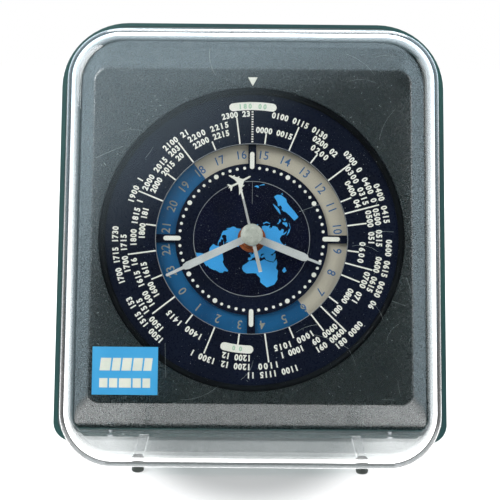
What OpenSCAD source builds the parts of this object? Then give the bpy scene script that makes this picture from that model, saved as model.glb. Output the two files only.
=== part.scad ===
// World time clock: clear hood, leaning dial, rotating zone disc and 24-hour ring.
// Millimetres, +Z up, front towards -Y, origin under the middle of the clock on the table.

/* [Housing] */
// Backward lean of the dial, the hood front and the case rim
lean = 16; // [10:0.5:20]
// Width of the rear case over its rim
case_w = 155.2; // [152:0.1:165]
// Height of the clock above the table
case_h = 165; // [163:0.5:175]
// Clearance under the case rim
case_floor_z = 1.8; // [1.6:0.1:2.2]
// Distance from the panel's flat to the back, level with the dial's centre
rear_depth = 44.5; // [43:0.5:52]
// Wall of the rear case
case_wall = 2.6; // [2.2:0.1:3]
// Wall of the lip that wraps the hood's edge
lip_wall = 1.3; // [1:0.1:1.6]
// How far the lip reaches over the hood
lip_depth = 2.6; // [2:0.1:4]
// Corner radius of the case rim at the top
case_corner_r = 27; // [22:0.5:30]
// Corner radius of the case rim at the bottom
case_foot_r = 7.5; // [6.5:0.5:12]
// How much narrower the case is at its back
back_taper = 6; // [4:0.5:12]
// Rounding of the case's back edges
back_edge_r = 8; // [6:0.5:10]

/* [Hood] */
// Wall of the clear hood
hood_wall = 2.6; // [2:0.1:3]
// Depth of the hood in front of the case rim
hood_depth = 46; // [40:0.5:52]
// Width of the hood at its front
hood_front_w = 141; // [136:0.5:146]
// Rounding of the hood's front edges
hood_edge_r = 7; // [5:0.5:9]
// Corner radius of the hood's front
hood_corner_r = 20; // [16:0.5:24]
// Drop of the hood's top at its front
hood_top_drop = 1.2; // [0.6:0.1:2]
// Distance of each foot rail from the middle
rail_x = 41.5; // [36:0.5:50]
// Width of a foot rail
rail_w = 3.6; // [3:0.1:5]
// Diameter of a front foot
front_foot_d = 4.6; // [4:0.1:6]
// Diameter of a rear foot
rear_foot_d = 10; // [8:0.5:12]

/* [Dial panel] */
// How far the dial's centre lies below the middle of the panel's flat
dial_drop = 1.3; // [0:0.1:3]
// Width of the flat of the panel
panel_w = 128.5; // [126:0.5:132]
// Height of the panel flat's lower edge
panel_low_z = 16.6; // [14:0.2:18]
// Height of the case above the panel flat's upper edge
panel_top_gap = 17.8; // [15:0.2:20]
// How far the flat stands in front of the rim
panel_rise = 7.3; // [6.9:0.1:8.5]
// Wall of the panel
panel_wall = 2.8; // [2.4:0.1:3]
// Radius of the round opening
opening_r = 61; // [60.8:0.1:62]
// Radial width of the trim ring
trim_w = 2.5; // [2.3:0.1:2.7]
// Depth of the zone disc's face behind the panel
disc_drop = 1.7; // [1.5:0.1:1.9]

/* [Dials] */
// Inner radius of the zone disc
zone_inner_r = 38.2; // [37.5:0.1:39]
// Inner radius of the dial windows
window_inner_r = 30.6; // [29.5:0.1:31.5]
// Width of the spokes between the windows
spoke_w = 3.2; // [2.4:0.1:4]
// Radius of the map disc
map_r = 23.4; // [20:0.1:25]
// Radius of the row of minute dots
dot_row_r = 28.8; // [27.5:0.1:29.2]
// Thickness of the discs and of the ring
sheet = 1.2; // [1:0.1:1.4]

/* [Hands] */
// Length of the hour hand
hour_hand_l = 29.6; // [24:0.2:32]
// Length of the minute hand
minute_hand_l = 37.2; // [33:0.2:38]
// Distance from the centre to the aeroplane
plane_r = 21.5; // [18:0.5:24]
// Length of the second hand's tail
tail_l = 15; // [11:0.5:18]
// Clockwise angle of the hour hand from the top
hour_angle = 111.3; // [0:0.1:360]
// Clockwise angle of the minute hand from the top
minute_angle = 244.5; // [0:0.1:360]
// Clockwise angle of the second hand from the top
second_angle = 346.4; // [0:0.1:360]
// Diameter of the cap over the hand arbor
cap_d = 8.7; // [7.5:0.1:9.5]

/* [Gears] */
// Gear module of the zone disc drive
zone_module = 1.2; // [1.15:0.05:1.2]
// Teeth of the zone disc's rim
zone_teeth = 96; // [94:1:97]
// Teeth of the zone pinion
zone_pinion_teeth = 10; // [10:1:12]
// Distance from the hand arbor to the two wheel arbors
train_distance = 12; // [12:0.1:12.2]
// Clearance left on each tooth flank
flank_gap = 0.07; // [0.05:0.01:0.1]

/* [Battery] */
// Diameter of the C cell
cell_d = 26.2; // [25:0.1:26.2]
// Length of the C cell
cell_l = 50; // [48:0.5:50]
// Height of the cell's axis above the table
cell_z = 28; // [27.5:0.1:28.2]
// Angle the battery door is drawn at
door_open = 0; // [0:1:70]

/* [Hidden] */

$fn = 96;
thin = 0.02;
through = 90;    // length of a cut that goes right through
fit = 0.15;      // gap between parts that push together
running = 0.05;  // radial gap of a shaft in its bearing
play = 0.3;      // gap between parts that pass each other
slope = tan(lean);

// Housing, worked out from the rim
panel_high_z = case_h - panel_top_gap;
dial_z = (panel_low_z + panel_high_z) / 2 - dial_drop;
back_y = dial_z * slope - panel_rise + rear_depth;
hood_rim_w = case_w - 2 * (lip_wall + fit);
hood_low_z = case_floor_z + lip_wall + fit;
hood_high_z = case_h - lip_wall - fit;
hood_rim_r = case_corner_r - lip_wall - fit;
hood_rim_foot_r = case_foot_r - lip_wall - fit;
floor_z = hood_low_z + hood_wall;
ledge_w = hood_rim_w - 2 * hood_wall - 6;
front_y = hood_low_z * slope - hood_depth - thin * cos(lean)
    + hood_edge_r * (slope * (1 - sin(lean)) + 1 - cos(lean));
middle_y = (front_y + back_y) / 2;
back_low_z = case_floor_z + 1;
back_high_z = case_h - 2;
back_w = case_w - back_taper;
back_corner_r = case_corner_r - 5;
back_foot_r = case_foot_r + 5;

// Levels along the dial's axis, with 0 at the face of the panel
zone_face = -disc_drop;
zone_back = zone_face - 1.5;
zone_gear_back = zone_back - 2.4;
dial_face = zone_back - 0.6;
dial_back = dial_face - sheet;
ring_face = dial_back - 0.4;
ring_back = ring_face - sheet;
plate_face = zone_gear_back - 2.2;
plate_back = plate_face - 1.4;
ring_wheel_face = plate_back - 0.8;
wheel_t = 1.2;
wheel_gap = 0.6;
hour_pinion_face = ring_wheel_face - wheel_t - wheel_gap;
hour_wheel_face = hour_pinion_face - wheel_t - wheel_gap;
minute_wheel_face = hour_wheel_face - wheel_t - wheel_gap;
movement_face = minute_wheel_face - wheel_t - 1;
movement_t = 1.6;
housing_face = movement_face - movement_t;
housing_back = housing_face - 15;
well_floor = housing_back - 1.2;
hour_hand_face = 2.6;
minute_hand_face = 5;
second_hand_face = 7.4;
hand_t = 0.5;

// Discs and gears
trim_inner_r = opening_r - trim_w;
ledge_r = opening_r - 1.1;
trim_level = -1.4;
zone_outer_r = trim_inner_r + 0.3;
zone_gear_r = zone_module * zone_teeth / 2;
zone_gear_bore = zone_gear_r - 4.2;
cup_r = zone_gear_bore - play;
cup_wall = 1.6;
ring_inner_r = window_inner_r - 1.4;
ring_outer_r = zone_inner_r + 1.2;
zone_pinion_r = zone_module * zone_pinion_teeth / 2;
zone_shaft_distance = zone_gear_r + zone_pinion_r;
zone_shaft_angle = 306.7;
zone_shaft_r = 1.5;
ring_teeth = 24;
transfer_teeth = 32;
hour_pinion_teeth = 16;
ring_module = train_distance / ring_teeth;
hour_teeth = 32;
minute_pinion_teeth = 8;
minute_teeth = 30;
cannon_teeth = 10;
hour_module = 2 * train_distance / (hour_teeth + minute_pinion_teeth);
transfer_angle = 0;
minute_arbor_angle = 130;

// Pipes on the hand arbor
second_r = 0.6;
cannon_bore = second_r + running;
cannon_r = 1.15;
hour_bore = cannon_r + running;
hour_pipe_r = 2;
ring_bore = hour_pipe_r + running;
ring_pipe_r = 3;
post_r = 0.95;
arbor_r = 1;

// Fixings behind the panel
panel_pad_x = 55.5;
panel_pad_high = 57;
panel_pad_low = -47;
screw_pillar_r = 4;
screw_web = 10;
case_screw_r = 1.2;
case_screw_head_r = 2.4;
plate_half_w = 60;
plate_half_h = 62;
pillar_x = 56;
pillar_y = 15;
movement_half_w = 60;
movement_half_h = 20;
housing_w = 58;
housing_h = 50;
well_r = 20;
knob_d = 13;
knob_t = 6;
zone_knob_d = 13;
zone_well_r = 9.5;
zone_well_floor = -24;
regulator_x = 13;
regulator_y = 8;
lever_l = 2.6;

// Battery bay in the lower part of the case
bay_w = cell_l + 12;
bay_h = cell_d + 6;
bay_low_z = cell_z - bay_h / 2;
foot_seat_z = case_floor_z + 1.5;
cell_y = back_y - case_wall - cell_d / 2 - 3.2;
tray_floor = 2;
tray_low_z = bay_low_z + 0.4;

// Puts a drawing in the dial's plane: x right, y up the dial, z out of it
module dial_frame() {
    translate([0, dial_z * slope - panel_rise - middle_y, dial_z])
        rotate([90 - lean, 0, 0])
            children();
}

module case_frame() {
    translate([0, -middle_y, 0]) children();
}

// Distance up the dial's plane of a height on the panel's flat
function up(z) = (z - dial_z) / cos(lean);

function arc_points(x, y, r, from, steps) =
    [for (i = [0:steps]) [x + r * cos(from + 90 * i / steps), y + r * sin(from + 90 * i / steps)]];

// Outline with round corners, with the top and the bottom corners set apart
function frame_outline(w, low, high, top_r, low_r, steps = 10) = concat(
    arc_points(w / 2 - top_r, high - top_r, top_r, 0, steps),
    arc_points(-w / 2 + top_r, high - top_r, top_r, 90, steps),
    arc_points(-w / 2 + low_r, low + low_r, low_r, 180, steps),
    arc_points(w / 2 - low_r, low + low_r, low_r, 270, steps));

// Thin slice parallel to the dial, offset horizontally from the rim plane
module lean_slice(offset, w, low, high, top_r, low_r) {
    translate([0, offset, 0])
        rotate([90 - lean, 0, 0])
            linear_extrude(thin)
                polygon(frame_outline(w, low / cos(lean), high / cos(lean), top_r, low_r));
}

// Thin upright slice
module back_slice(y, w, low, high, top_r, low_r) {
    translate([0, y, 0])
        rotate([90, 0, 0])
            linear_extrude(thin)
                polygon(frame_outline(w, low, high, top_r, low_r));
}

// Flat plate with round corners, centred, with its face at level z
module plate(w, h, r, z, t) {
    translate([0, 0, z - t])
        linear_extrude(t)
            union() {
                square([w - 2 * r, h], center = true);
                square([w, h - 2 * r], center = true);
                for (x = [-1, 1], y = [-1, 1])
                    translate([x * (w / 2 - r), y * (h / 2 - r)])
                        circle(r);
            }
}

// Round disc or pin whose face is at level z
module disc(r, z, t) {
    translate([0, 0, z - t]) cylinder(r = r, h = t);
}

module ring(outer, inner, z, t) {
    difference() {
        disc(outer, z, t);
        disc(inner, z + 1, t + 2);
    }
}

// Position at a clockwise angle from the top of the dial
module around(angle, r) {
    rotate([0, 0, -angle]) translate([0, r, 0]) children();
}

// Gear outline with straight relieved flanks; a tooth points up at phase 0
function tooth_points(teeth, m, phase) = [
    for (i = [0:teeth - 1], k = [0:5])
        let (
            pitch_r = m * teeth / 2,
            half = m * PI / 4 - flank_gap,
            r = [pitch_r - 1.2 * m, pitch_r - 0.3 * m, pitch_r + 0.8 * m,
                pitch_r + 0.8 * m, pitch_r - 0.3 * m, pitch_r - 1.2 * m][k],
            w = [half + 0.22 * m, half + 0.08 * m, half - 0.42 * m,
                half - 0.42 * m, half + 0.08 * m, half + 0.22 * m][k],
            side = k < 3 ? 1 : -1,
            a = 90 - phase + 360 * i / teeth - side * w / pitch_r * 180 / PI)
        [r * cos(a), r * sin(a)]];

module gear(teeth, m, z, t, bore, phase) {
    difference() {
        translate([0, 0, z - t])
            linear_extrude(t)
                polygon(tooth_points(teeth, m, phase));
        disc(bore, z + 1, t + 2);
    }
}

// Phase that lets a gear mesh with a driver whose own phase is known
function mesh_phase(driver_teeth, driver_phase, teeth, direction) =
    let (share = (direction - driver_phase) * driver_teeth / 360)
    direction + 180 - (0.5 - share) * 360 / teeth;

// Four round windows that lighten a wheel
module wheel_windows(count, at, r, z, t) {
    for (i = [0:count - 1])
        around(360 * (i + 0.5) / count, at) disc(r, z + 1, t + 2);
}

module outer_case_form() {
    hull() {
        lean_slice(-lip_depth, case_w, case_floor_z, case_h, case_corner_r, case_foot_r);
        lean_slice(2, case_w, case_floor_z, case_h, case_corner_r, case_foot_r);
        for (a = [0:15:90]) {
            inset = back_edge_r * (1 - cos(a));
            back_slice(back_y - back_edge_r * (1 - sin(a)), back_w - 2 * inset, back_low_z + inset,
                back_high_z - inset, back_corner_r - inset, back_foot_r - inset);
        }
    }
}

module inner_case_form() {
    hull() {
        lean_slice(-thin, ledge_w, floor_z + 3, hood_high_z - hood_wall - 3, hood_rim_r - 5, 4);
        for (a = [0:22.5:90]) {
            inset = (back_edge_r - case_wall) * (1 - cos(a)) + case_wall;
            back_slice(back_y - case_wall - (back_edge_r - case_wall) * (1 - sin(a)),
                back_w - 2 * inset, back_low_z + inset, back_high_z - inset,
                back_corner_r - inset, back_foot_r - inset);
        }
    }
}

// Round well in the back wall, square to the arbors, that holds a knob
module well_wall(r, floor) {
    translate([0, 0, floor - case_wall - through])
        cylinder(r = r + 2, h = through + case_wall);
}

module well_space(r, floor) {
    translate([0, 0, floor - case_wall - through]) cylinder(r = r, h = through);
}

module corner_places() {
    for (x = [-panel_pad_x, panel_pad_x], y = [panel_pad_low, panel_pad_high])
        translate([x, y, 0]) children();
}

// Moulded shell with a lip, knob wells, screw pillars and a battery bay
module rear_case() {
    color("#2f5552")
        difference() {
            union() {
                difference() {
                    case_frame() outer_case_form();
                    case_frame() inner_case_form();
                    case_frame() hood_form(fit);
                }
                for (x = [-18, 18])
                    case_frame()
                        translate([x - 1, cell_y - cell_d / 2, back_low_z + 0.8])
                            cube([2, cell_d, tray_low_z - back_low_z - 0.8]);
                intersection() {
                    case_frame() outer_case_form();
                    dial_frame() {
                        well_wall(well_r, well_floor);
                        around(zone_shaft_angle, zone_shaft_distance)
                            well_wall(zone_well_r, zone_well_floor);
                        corner_places()
                            translate([0, 0, plate_back - through])
                                cylinder(r = screw_pillar_r, h = through);
                    }
                }
            }
            dial_frame() {
                well_space(well_r, well_floor);
                translate([0, 0, well_floor - case_wall - 1]) {
                    around(minute_arbor_angle, train_distance)
                        cylinder(r = arbor_r + running, h = case_wall + 2);
                    translate([-regulator_x - 2.2, regulator_y + lever_l - 1.1, 0])
                        cube([4.4, 2.1, case_wall + 2]);
                }
                around(zone_shaft_angle, zone_shaft_distance) {
                    well_space(zone_well_r, zone_well_floor);
                    translate([0, 0, zone_well_floor - case_wall - 1])
                        cylinder(r = zone_shaft_r + running, h = case_wall + 2);
                }
                corner_places() {
                    disc(case_screw_r + running, plate_back + 1, screw_web + 2);
                    disc(case_screw_head_r + 0.4, plate_back - screw_web, through);
                }
            }
            case_frame()
                translate([-bay_w / 2, back_y - case_wall - 1, bay_low_z])
                    cube([bay_w, case_wall + 2, bay_h]);
            door_axis_place()
                rotate([0, 90, 0])
                    cylinder(r = door_pin_r + running, h = door_w + 2 * door_pin_l + play,
                        center = true);
            rear_foot_places() cylinder(r = rear_foot_d / 2 + fit, h = foot_seat_z);
            for (x = [-1, 1])
                cover_screw_place(x) {
                    translate([0, 0, -1]) cylinder(r = cover_screw_r + 0.4, h = 8);
                    translate([0, 0, -1])
                        cylinder(r = cover_screw_head_r + 0.3, h = 1 + screw_sink);
                }
        }
}

// Outer form of the hood, grown by a gap where the case wraps it
module hood_form(grow) {
    hull() {
        for (a = [0:10:90]) {
            inset = hood_edge_r * (1 - cos(a)) - grow;
            lean_slice(hood_edge_r * (1 - sin(a)) - hood_depth - grow,
                hood_front_w - 2 * inset, hood_low_z + inset, hood_high_z - hood_top_drop - inset,
                hood_corner_r - inset, hood_corner_r - inset);
        }
        lean_slice(0, hood_rim_w + 2 * grow, hood_low_z - grow, hood_high_z + grow,
            hood_rim_r + grow, hood_rim_foot_r + grow);
    }
}

// Clear moulded hood with an open back and two rails under its floor
module clear_cover() {
    color("#dfe6ea", 0.25)
        difference() {
            union() {
                case_frame() hood_form(0);
                for (x = [-rail_x, rail_x]) foot_rail(x);
            }
            case_frame()
                hull() {
                    for (a = [0:10:90]) {
                        inner_r = hood_edge_r - hood_wall;
                        inset = inner_r * (1 - cos(a)) + hood_wall;
                        lean_slice(inner_r * (1 - sin(a)) - hood_depth + hood_wall / cos(lean),
                            hood_front_w - 2 * inset, hood_low_z + inset,
                            hood_high_z - hood_top_drop - inset,
                            hood_corner_r - inset, hood_corner_r - inset);
                    }
                    lean_slice(1, hood_rim_w - 2 * hood_wall, floor_z, hood_high_z - hood_wall,
                        hood_rim_r - hood_wall, hood_rim_foot_r - hood_wall);
                }
            for (x = [-1, 1])
                cover_screw_place(x)
                    translate([0, 0, -1]) cylinder(r = cover_screw_r + running, h = 5.4);
        }
}

rail_front_y = hood_low_z * slope - hood_depth + hood_edge_r + 1.5;
rail_back_y = -lip_depth - 1;
rail_t = 0.9;

module foot_rail(x) {
    case_frame()
        translate([x - rail_w / 2, rail_front_y, hood_low_z - rail_t])
            cube([rail_w, rail_back_y - rail_front_y, rail_t + 0.5]);
}

foot_y = rail_front_y + front_foot_d / 2 + 0.3;

module front_feet() {
    color("#2a302c")
        case_frame()
            for (x = [-rail_x, rail_x])
                translate([x, foot_y, 0])
                    rotate_extrude()
                        polygon(foot_profile(front_foot_d / 2, hood_low_z - rail_t, 0.9));
}

// Half section of a foot with a rounded lower edge
function foot_profile(r, h, round_r) = concat([[0, h], [0, 0]],
    [for (i = [0:5]) [r - round_r + round_r * sin(18 * i), round_r - round_r * cos(18 * i)]],
    [[r, h]]);

module rear_foot_places() {
    case_frame()
        for (x = [-1, 1])
            translate([x * (back_w / 2 - 20), back_y - back_edge_r - rear_foot_d, 0])
                children();
}

module rear_feet() {
    color("#2a302c")
        rear_foot_places()
            rotate_extrude()
                polygon(foot_profile(rear_foot_d / 2, foot_seat_z, 0.8));
}

cover_screw_x = case_w / 2 - 22.6;
cover_screw_r = 0.8;
cover_screw_head_r = 1.7;
screw_sink = 0.6;

module cover_screw_place(side) {
    case_frame()
        translate([side * cover_screw_x, hood_low_z * slope - lip_depth / 2, case_floor_z])
            children();
}

module cover_screws() {
    color("#b9bcc0")
        for (x = [-1, 1])
            cover_screw_place(x) {
                cylinder(r = cover_screw_r, h = 4.2);
                cylinder(r = cover_screw_head_r, h = screw_sink);
            }
}

// Raised panel with sloping borders and a stepped round opening
module dial_panel() {
    base_low = floor_z + play;
    base_high = hood_high_z - hood_wall - play;
    base_w = hood_rim_w - 2 * hood_wall - 2 * play;
    color("#2b3f3c")
        difference() {
            case_frame()
                hull() {
                    lean_slice(-panel_rise + thin, panel_w - 2, panel_low_z + 1, panel_high_z - 1,
                        5, 4);
                    lean_slice(-panel_rise + 0.5, panel_w, panel_low_z, panel_high_z, 6, 5);
                    lean_slice(0, base_w, base_low, base_high, hood_rim_r - hood_wall,
                        hood_rim_foot_r - hood_wall);
                }
            case_frame()
                hull() {
                    lean_slice(panel_wall / cos(lean) - panel_rise, panel_w - 4, panel_low_z + 2,
                        panel_high_z - 2, 5, 4);
                    lean_slice(0.5, base_w - 5, base_low + 2.5, base_high - 2.5,
                        hood_rim_r - hood_wall - 2, 2);
                }
            dial_frame() {
                disc(opening_r, 1, 1 - trim_level + 0.2);
                disc(ledge_r, 1, panel_wall + 4);
                pointer_place() pointer_shape(0.35, 0.5);
            }
        }
}

pointer_up = up(panel_high_z) - 5.8;

module pointer_place() {
    translate([0, pointer_up, 0]) children();
}

// Triangle that points down at the disc
module pointer_shape(margin, depth) {
    half = 1.9 + margin;
    translate([0, 0, -depth])
        linear_extrude(depth + margin)
            polygon([[-half - margin, 1.8 + margin], [half + margin, 1.8 + margin],
                [0, -1.8 - 2 * margin]]);
}

module panel_pointer() {
    color("#e8e6d2") dial_frame() pointer_place() pointer_shape(0, 0.5);
}

// Glossy ring that drops on the panel's ledge and keeps the zone disc in
module trim_ring() {
    outer = opening_r - 0.1;
    color("#17191c")
        dial_frame()
            rotate_extrude()
                polygon([[trim_inner_r, trim_level], [outer, trim_level - 0.2],
                    [outer, -0.5], [outer - 0.5, -0.1], [outer - 1, -0.1],
                    [trim_inner_r, trim_level + 0.4]]);
}

// Fixed plate: a dial with four windows, a round cup and a square flange
module dial_plate() {
    color("#101826")
        dial_frame()
            difference() {
                union() {
                    disc(cup_r, dial_face, dial_face - plate_back);
                    plate(2 * plate_half_w, 2 * plate_half_h, 8, plate_face,
                        plate_face - plate_back);
                    ring(zone_gear_bore + 2.2, cup_r - 0.2, zone_gear_back - play,
                        zone_gear_back - play - plate_back);
                    corner_places()
                        disc(screw_pillar_r, -panel_wall, -panel_wall - plate_back);
                }
                disc(cup_r - cup_wall, dial_back, 40);
                disc(hour_pipe_r + 0.15, 1, 20);
                difference() {
                    ring(zone_inner_r + 0.5, window_inner_r, 0, 12);
                    for (a = [0, 90])
                        rotate([0, 0, a]) cube([spoke_w, 2 * zone_inner_r + 4, 30], center = true);
                }
                around(zone_shaft_angle, zone_shaft_distance)
                    disc(zone_shaft_r + running, 0, 30);
                corner_places() disc(case_screw_r + running, plate_back + 6, 8);
            }
}

map_t = 0.3;

module map_disc() {
    color("#0b1018")
        dial_frame() ring(map_r, hour_pipe_r + 0.3, dial_face + map_t, map_t);
}

module hour_batons() {
    color("#eeeedd")
        dial_frame()
            for (a = [0:90:270])
                around(a, dot_row_r + 3)
                    translate([0, 0, dial_face])
                        linear_extrude(0.4)
                            union() {
                                square([1.8, 5.2], center = true);
                                for (y = [-2.6, 2.6]) translate([0, y]) circle(0.9);
                            }
}

// Dots for the minutes, larger at the five minutes, none under the batons
module minute_dots() {
    color("#eeeedd")
        dial_frame()
            for (i = [0:59])
                if (i % 15 != 0)
                    around(i * 6, dot_row_r)
                        disc(i % 5 == 0 ? 0.95 : 0.6, dial_face + 0.15, 0.15);
}

module centre_nut() {
    color("#b0643a")
        dial_frame() {
            ring(5.6, hour_pipe_r + 0.3, dial_face + map_t + 0.7, 0.7);
            ring(4.1, hour_pipe_r + 0.3, dial_face + map_t + 2.2, 1.5);
        }
}

// Printed disc with a toothed rim behind it
module zone_disc() {
    color("#1a2233")
        dial_frame()
            union() {
                ring(zone_outer_r, zone_inner_r, zone_face, zone_face - zone_back);
                gear(zone_teeth, zone_module, zone_back + 0.01, zone_back - zone_gear_back,
                    zone_gear_bore, 0);
            }
}

zone_pinion_phase = mesh_phase(zone_teeth, 0, zone_pinion_teeth, zone_shaft_angle);
zone_knob_face = zone_well_floor - case_wall - 1;

module zone_pinion() {
    color("#c9b98a")
        dial_frame()
            around(zone_shaft_angle, zone_shaft_distance) rotate([0, 0, zone_shaft_angle]) {
                gear(zone_pinion_teeth, zone_module, zone_back - 0.5,
                    zone_back - zone_gear_back - 0.7, 0.5, zone_pinion_phase);
                disc(zone_shaft_r, zone_back - 0.6, zone_back - 0.6 - zone_knob_face + 3);
            }
}

// Fluted knob with a blind hole for its shaft
module knob(d, t, flutes, z, bore, depth) {
    difference() {
        union() {
            disc(d / 2, z, t - 0.8);
            translate([0, 0, z - t]) cylinder(r1 = d / 2 - 0.8, r2 = d / 2, h = 0.81);
        }
        disc(bore, z + 1, depth + 1);
        for (i = [0:flutes - 1])
            around(360 * i / flutes, d / 2 + 0.35) disc(0.8, z + 1, t + 2);
    }
}

module zone_knob() {
    color("#1d2422")
        dial_frame()
            around(zone_shaft_angle, zone_shaft_distance)
                knob(zone_knob_d, knob_t, 20, zone_knob_face, zone_shaft_r, 3);
}

// Translucent ring with the day and night hours
module hour_ring() {
    color("#3f78ad") dial_frame() ring(ring_outer_r, ring_inner_r, ring_face, sheet);
}

module ring_carrier() {
    color("#d8d2c0")
        dial_frame()
            difference() {
                union() {
                    disc(ring_outer_r, ring_back, sheet);
                    disc(ring_pipe_r, ring_face, ring_face - ring_wheel_face + wheel_t);
                    gear(ring_teeth, ring_module, ring_wheel_face, wheel_t, ring_bore, 0);
                }
                disc(ring_bore, 1, 40);
                wheel_windows(6, 17, 6.5, ring_back, sheet);
            }
}

transfer_phase = mesh_phase(ring_teeth, 0, ring_teeth, transfer_angle);

module transfer_wheel() {
    color("#d9c07a")
        dial_frame()
            around(transfer_angle, train_distance) rotate([0, 0, transfer_angle])
                difference() {
                    union() {
                        gear(ring_teeth, ring_module, ring_wheel_face, wheel_t, post_r + running,
                            transfer_phase);
                        disc(2.2, ring_wheel_face, ring_wheel_face - hour_pinion_face + wheel_t);
                        gear(transfer_teeth, ring_module, hour_pinion_face, wheel_t,
                            post_r + running, transfer_phase);
                    }
                    disc(post_r + running, 1, 40);
                    wheel_windows(4, 4.6, 1.4, hour_pinion_face, wheel_t);
                }
}

hour_pinion_phase = mesh_phase(transfer_teeth, transfer_phase, hour_pinion_teeth,
    transfer_angle + 180);

module hour_wheel() {
    color("#d9c07a")
        dial_frame()
            difference() {
                union() {
                    gear(hour_pinion_teeth, ring_module, hour_pinion_face, wheel_t, hour_bore,
                        hour_pinion_phase);
                    gear(hour_teeth, hour_module, hour_wheel_face, wheel_t, hour_bore, 0);
                    disc(hour_pipe_r, hour_hand_face, hour_hand_face - hour_wheel_face + wheel_t);
                }
                disc(hour_bore, hour_hand_face + 1, 40);
                wheel_windows(4, 5.8, 2, hour_wheel_face, wheel_t);
            }
}

// Hand: a broad blade that steps to a fine pointer with a round tip
module hand(length, blade, pointer, step, collar, bore, face) {
    translate([0, 0, face - hand_t])
        linear_extrude(hand_t)
            difference() {
                union() {
                    circle(collar);
                    polygon([[-blade / 2 * 0.9, 0], [-blade / 2, step - 2],
                        [-blade / 2 * 0.75, step - 0.5], [-pointer / 2, step],
                        [-pointer / 2 * 0.9, length - pointer / 2],
                        [pointer / 2 * 0.9, length - pointer / 2],
                        [pointer / 2, step], [blade / 2 * 0.75, step - 0.5],
                        [blade / 2, step - 2], [blade / 2 * 0.9, 0]]);
                    translate([0, length - pointer / 2]) circle(pointer / 2 * 0.9);
                }
                circle(bore);
            }
}

module hour_hand() {
    color("#c5c5c3")
        dial_frame()
            rotate([0, 0, -hour_angle])
                union() {
                    hand(hour_hand_l, 3.2, 1, hour_hand_l * 0.81, 3.8, hour_pipe_r, hour_hand_face);
                    ring(2.9, hour_pipe_r, hour_hand_face - hand_t, 0.9);
                }
}

minute_wheel_phase = minute_arbor_angle;
minute_knob_face = well_floor - case_wall - 1.2;

module minute_wheel() {
    color("#d9c07a")
        dial_frame()
            around(minute_arbor_angle, train_distance) rotate([0, 0, minute_arbor_angle])
                difference() {
                    union() {
                        gear(minute_pinion_teeth, hour_module, hour_wheel_face, wheel_t + 0.5, 0.3,
                            mesh_phase(hour_teeth, 0, minute_pinion_teeth, minute_arbor_angle));
                        gear(minute_teeth, hour_module, minute_wheel_face, wheel_t, 0.3,
                            minute_wheel_phase);
                        disc(arbor_r, hour_wheel_face + 0.3,
                            hour_wheel_face + 0.3 - minute_knob_face + 3.5);
                    }
                    wheel_windows(4, 5.2, 1.8, minute_wheel_face, wheel_t);
                }
}

module set_knob() {
    color("#1d2422")
        dial_frame()
            around(minute_arbor_angle, train_distance)
                knob(knob_d, knob_t, 24, minute_knob_face, arbor_r, 3.5);
}

cannon_phase = mesh_phase(minute_teeth, minute_wheel_phase, cannon_teeth,
    minute_arbor_angle + 180);

module cannon_pinion() {
    color("#c9b98a")
        dial_frame()
            difference() {
                union() {
                    gear(cannon_teeth, hour_module, minute_wheel_face, wheel_t, cannon_bore,
                        cannon_phase);
                    disc(cannon_r, minute_hand_face, minute_hand_face - movement_face - 0.4);
                }
                disc(cannon_bore, minute_hand_face + 1, through);
            }
}

module minute_hand() {
    color("#c5c5c3")
        dial_frame()
            rotate([0, 0, -minute_angle])
                union() {
                    hand(minute_hand_l, 3, 1.2, minute_hand_l * 0.8, 3.4, cannon_r,
                        minute_hand_face);
                    ring(2.3, cannon_r, minute_hand_face - hand_t, 0.8);
                }
}

module second_arbor() {
    color("#d0d2d4")
        dial_frame()
            disc(second_r, second_hand_face + 0.3, second_hand_face + 0.3 - housing_face + 4);
}

// One side of the aeroplane in plan, nose up
plane_half = [[0, 7.2], [0.45, 6.4], [0.55, 2.6], [2.4, 0.9], [2.5, 1.6], [3, 1.5], [3, 0.3],
    [4.2, -0.9], [4.3, -0.3], [4.8, -0.4], [4.8, -1.5], [6, -2.7], [6, -3.4], [2.8, -1.7],
    [0.5, -1], [0.4, -4.4], [2, -5.8], [2, -6.5], [0.3, -5.9], [0, -6.8]];
plane_outline = concat(plane_half,
    [for (i = [len(plane_half) - 2:-1:1]) [-plane_half[i].x, plane_half[i].y]]);
plane_heading = 61;
plane_size = 0.72;

// Tapered arm with a jet aeroplane near its end and a broad tail
module second_hand() {
    color("#e9e7dc")
        dial_frame()
            translate([0, 0, second_hand_face - hand_t])
                linear_extrude(hand_t)
                    difference() {
                        union() {
                            rotate(-second_angle) {
                                polygon([[-0.5, 0], [-0.35, plane_r - 2.4], [-0.6, plane_r],
                                    [0.6, plane_r], [0.35, plane_r - 2.4], [0.5, 0]]);
                                translate([-0.7, -tail_l]) square([1.4, tail_l]);
                                translate([0, plane_r])
                                    rotate(second_angle - plane_heading)
                                        polygon(plane_outline * plane_size);
                            }
                            circle(2.4);
                        }
                        circle(second_r);
                    }
}

module hand_cap() {
    color("#b9bab4")
        dial_frame()
            difference() {
                rotate_extrude()
                    polygon([[0, second_hand_face], [cap_d / 2, second_hand_face],
                        [cap_d / 2, second_hand_face + 0.5], [cap_d / 2 - 0.4, second_hand_face + 0.8],
                        [cap_d / 2 - 0.9, second_hand_face + 1], [0, second_hand_face + 1.3]]);
                disc(second_r, second_hand_face + 0.3, 1);
            }
}

// Plate that carries the movement across the cup
module movement_plate() {
    color("#c8c6bd")
        dial_frame()
            difference() {
                union() {
                    plate(2 * movement_half_w, 2 * movement_half_h, 5, movement_face, movement_t);
                    plate(housing_w - 6, housing_h + 4, 5, movement_face, movement_t);
                }
                disc(second_r + running, 0, through);
                around(minute_arbor_angle, train_distance) disc(arbor_r + running, 0, through);
                around(transfer_angle, train_distance) disc(post_r, 0, through);
                pillar_places() disc(1.1, 0, through);
            }
}

module pillar_places() {
    for (x = [-pillar_x, pillar_x], y = [-pillar_y, pillar_y])
        translate([x, y, 0]) children();
}

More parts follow.
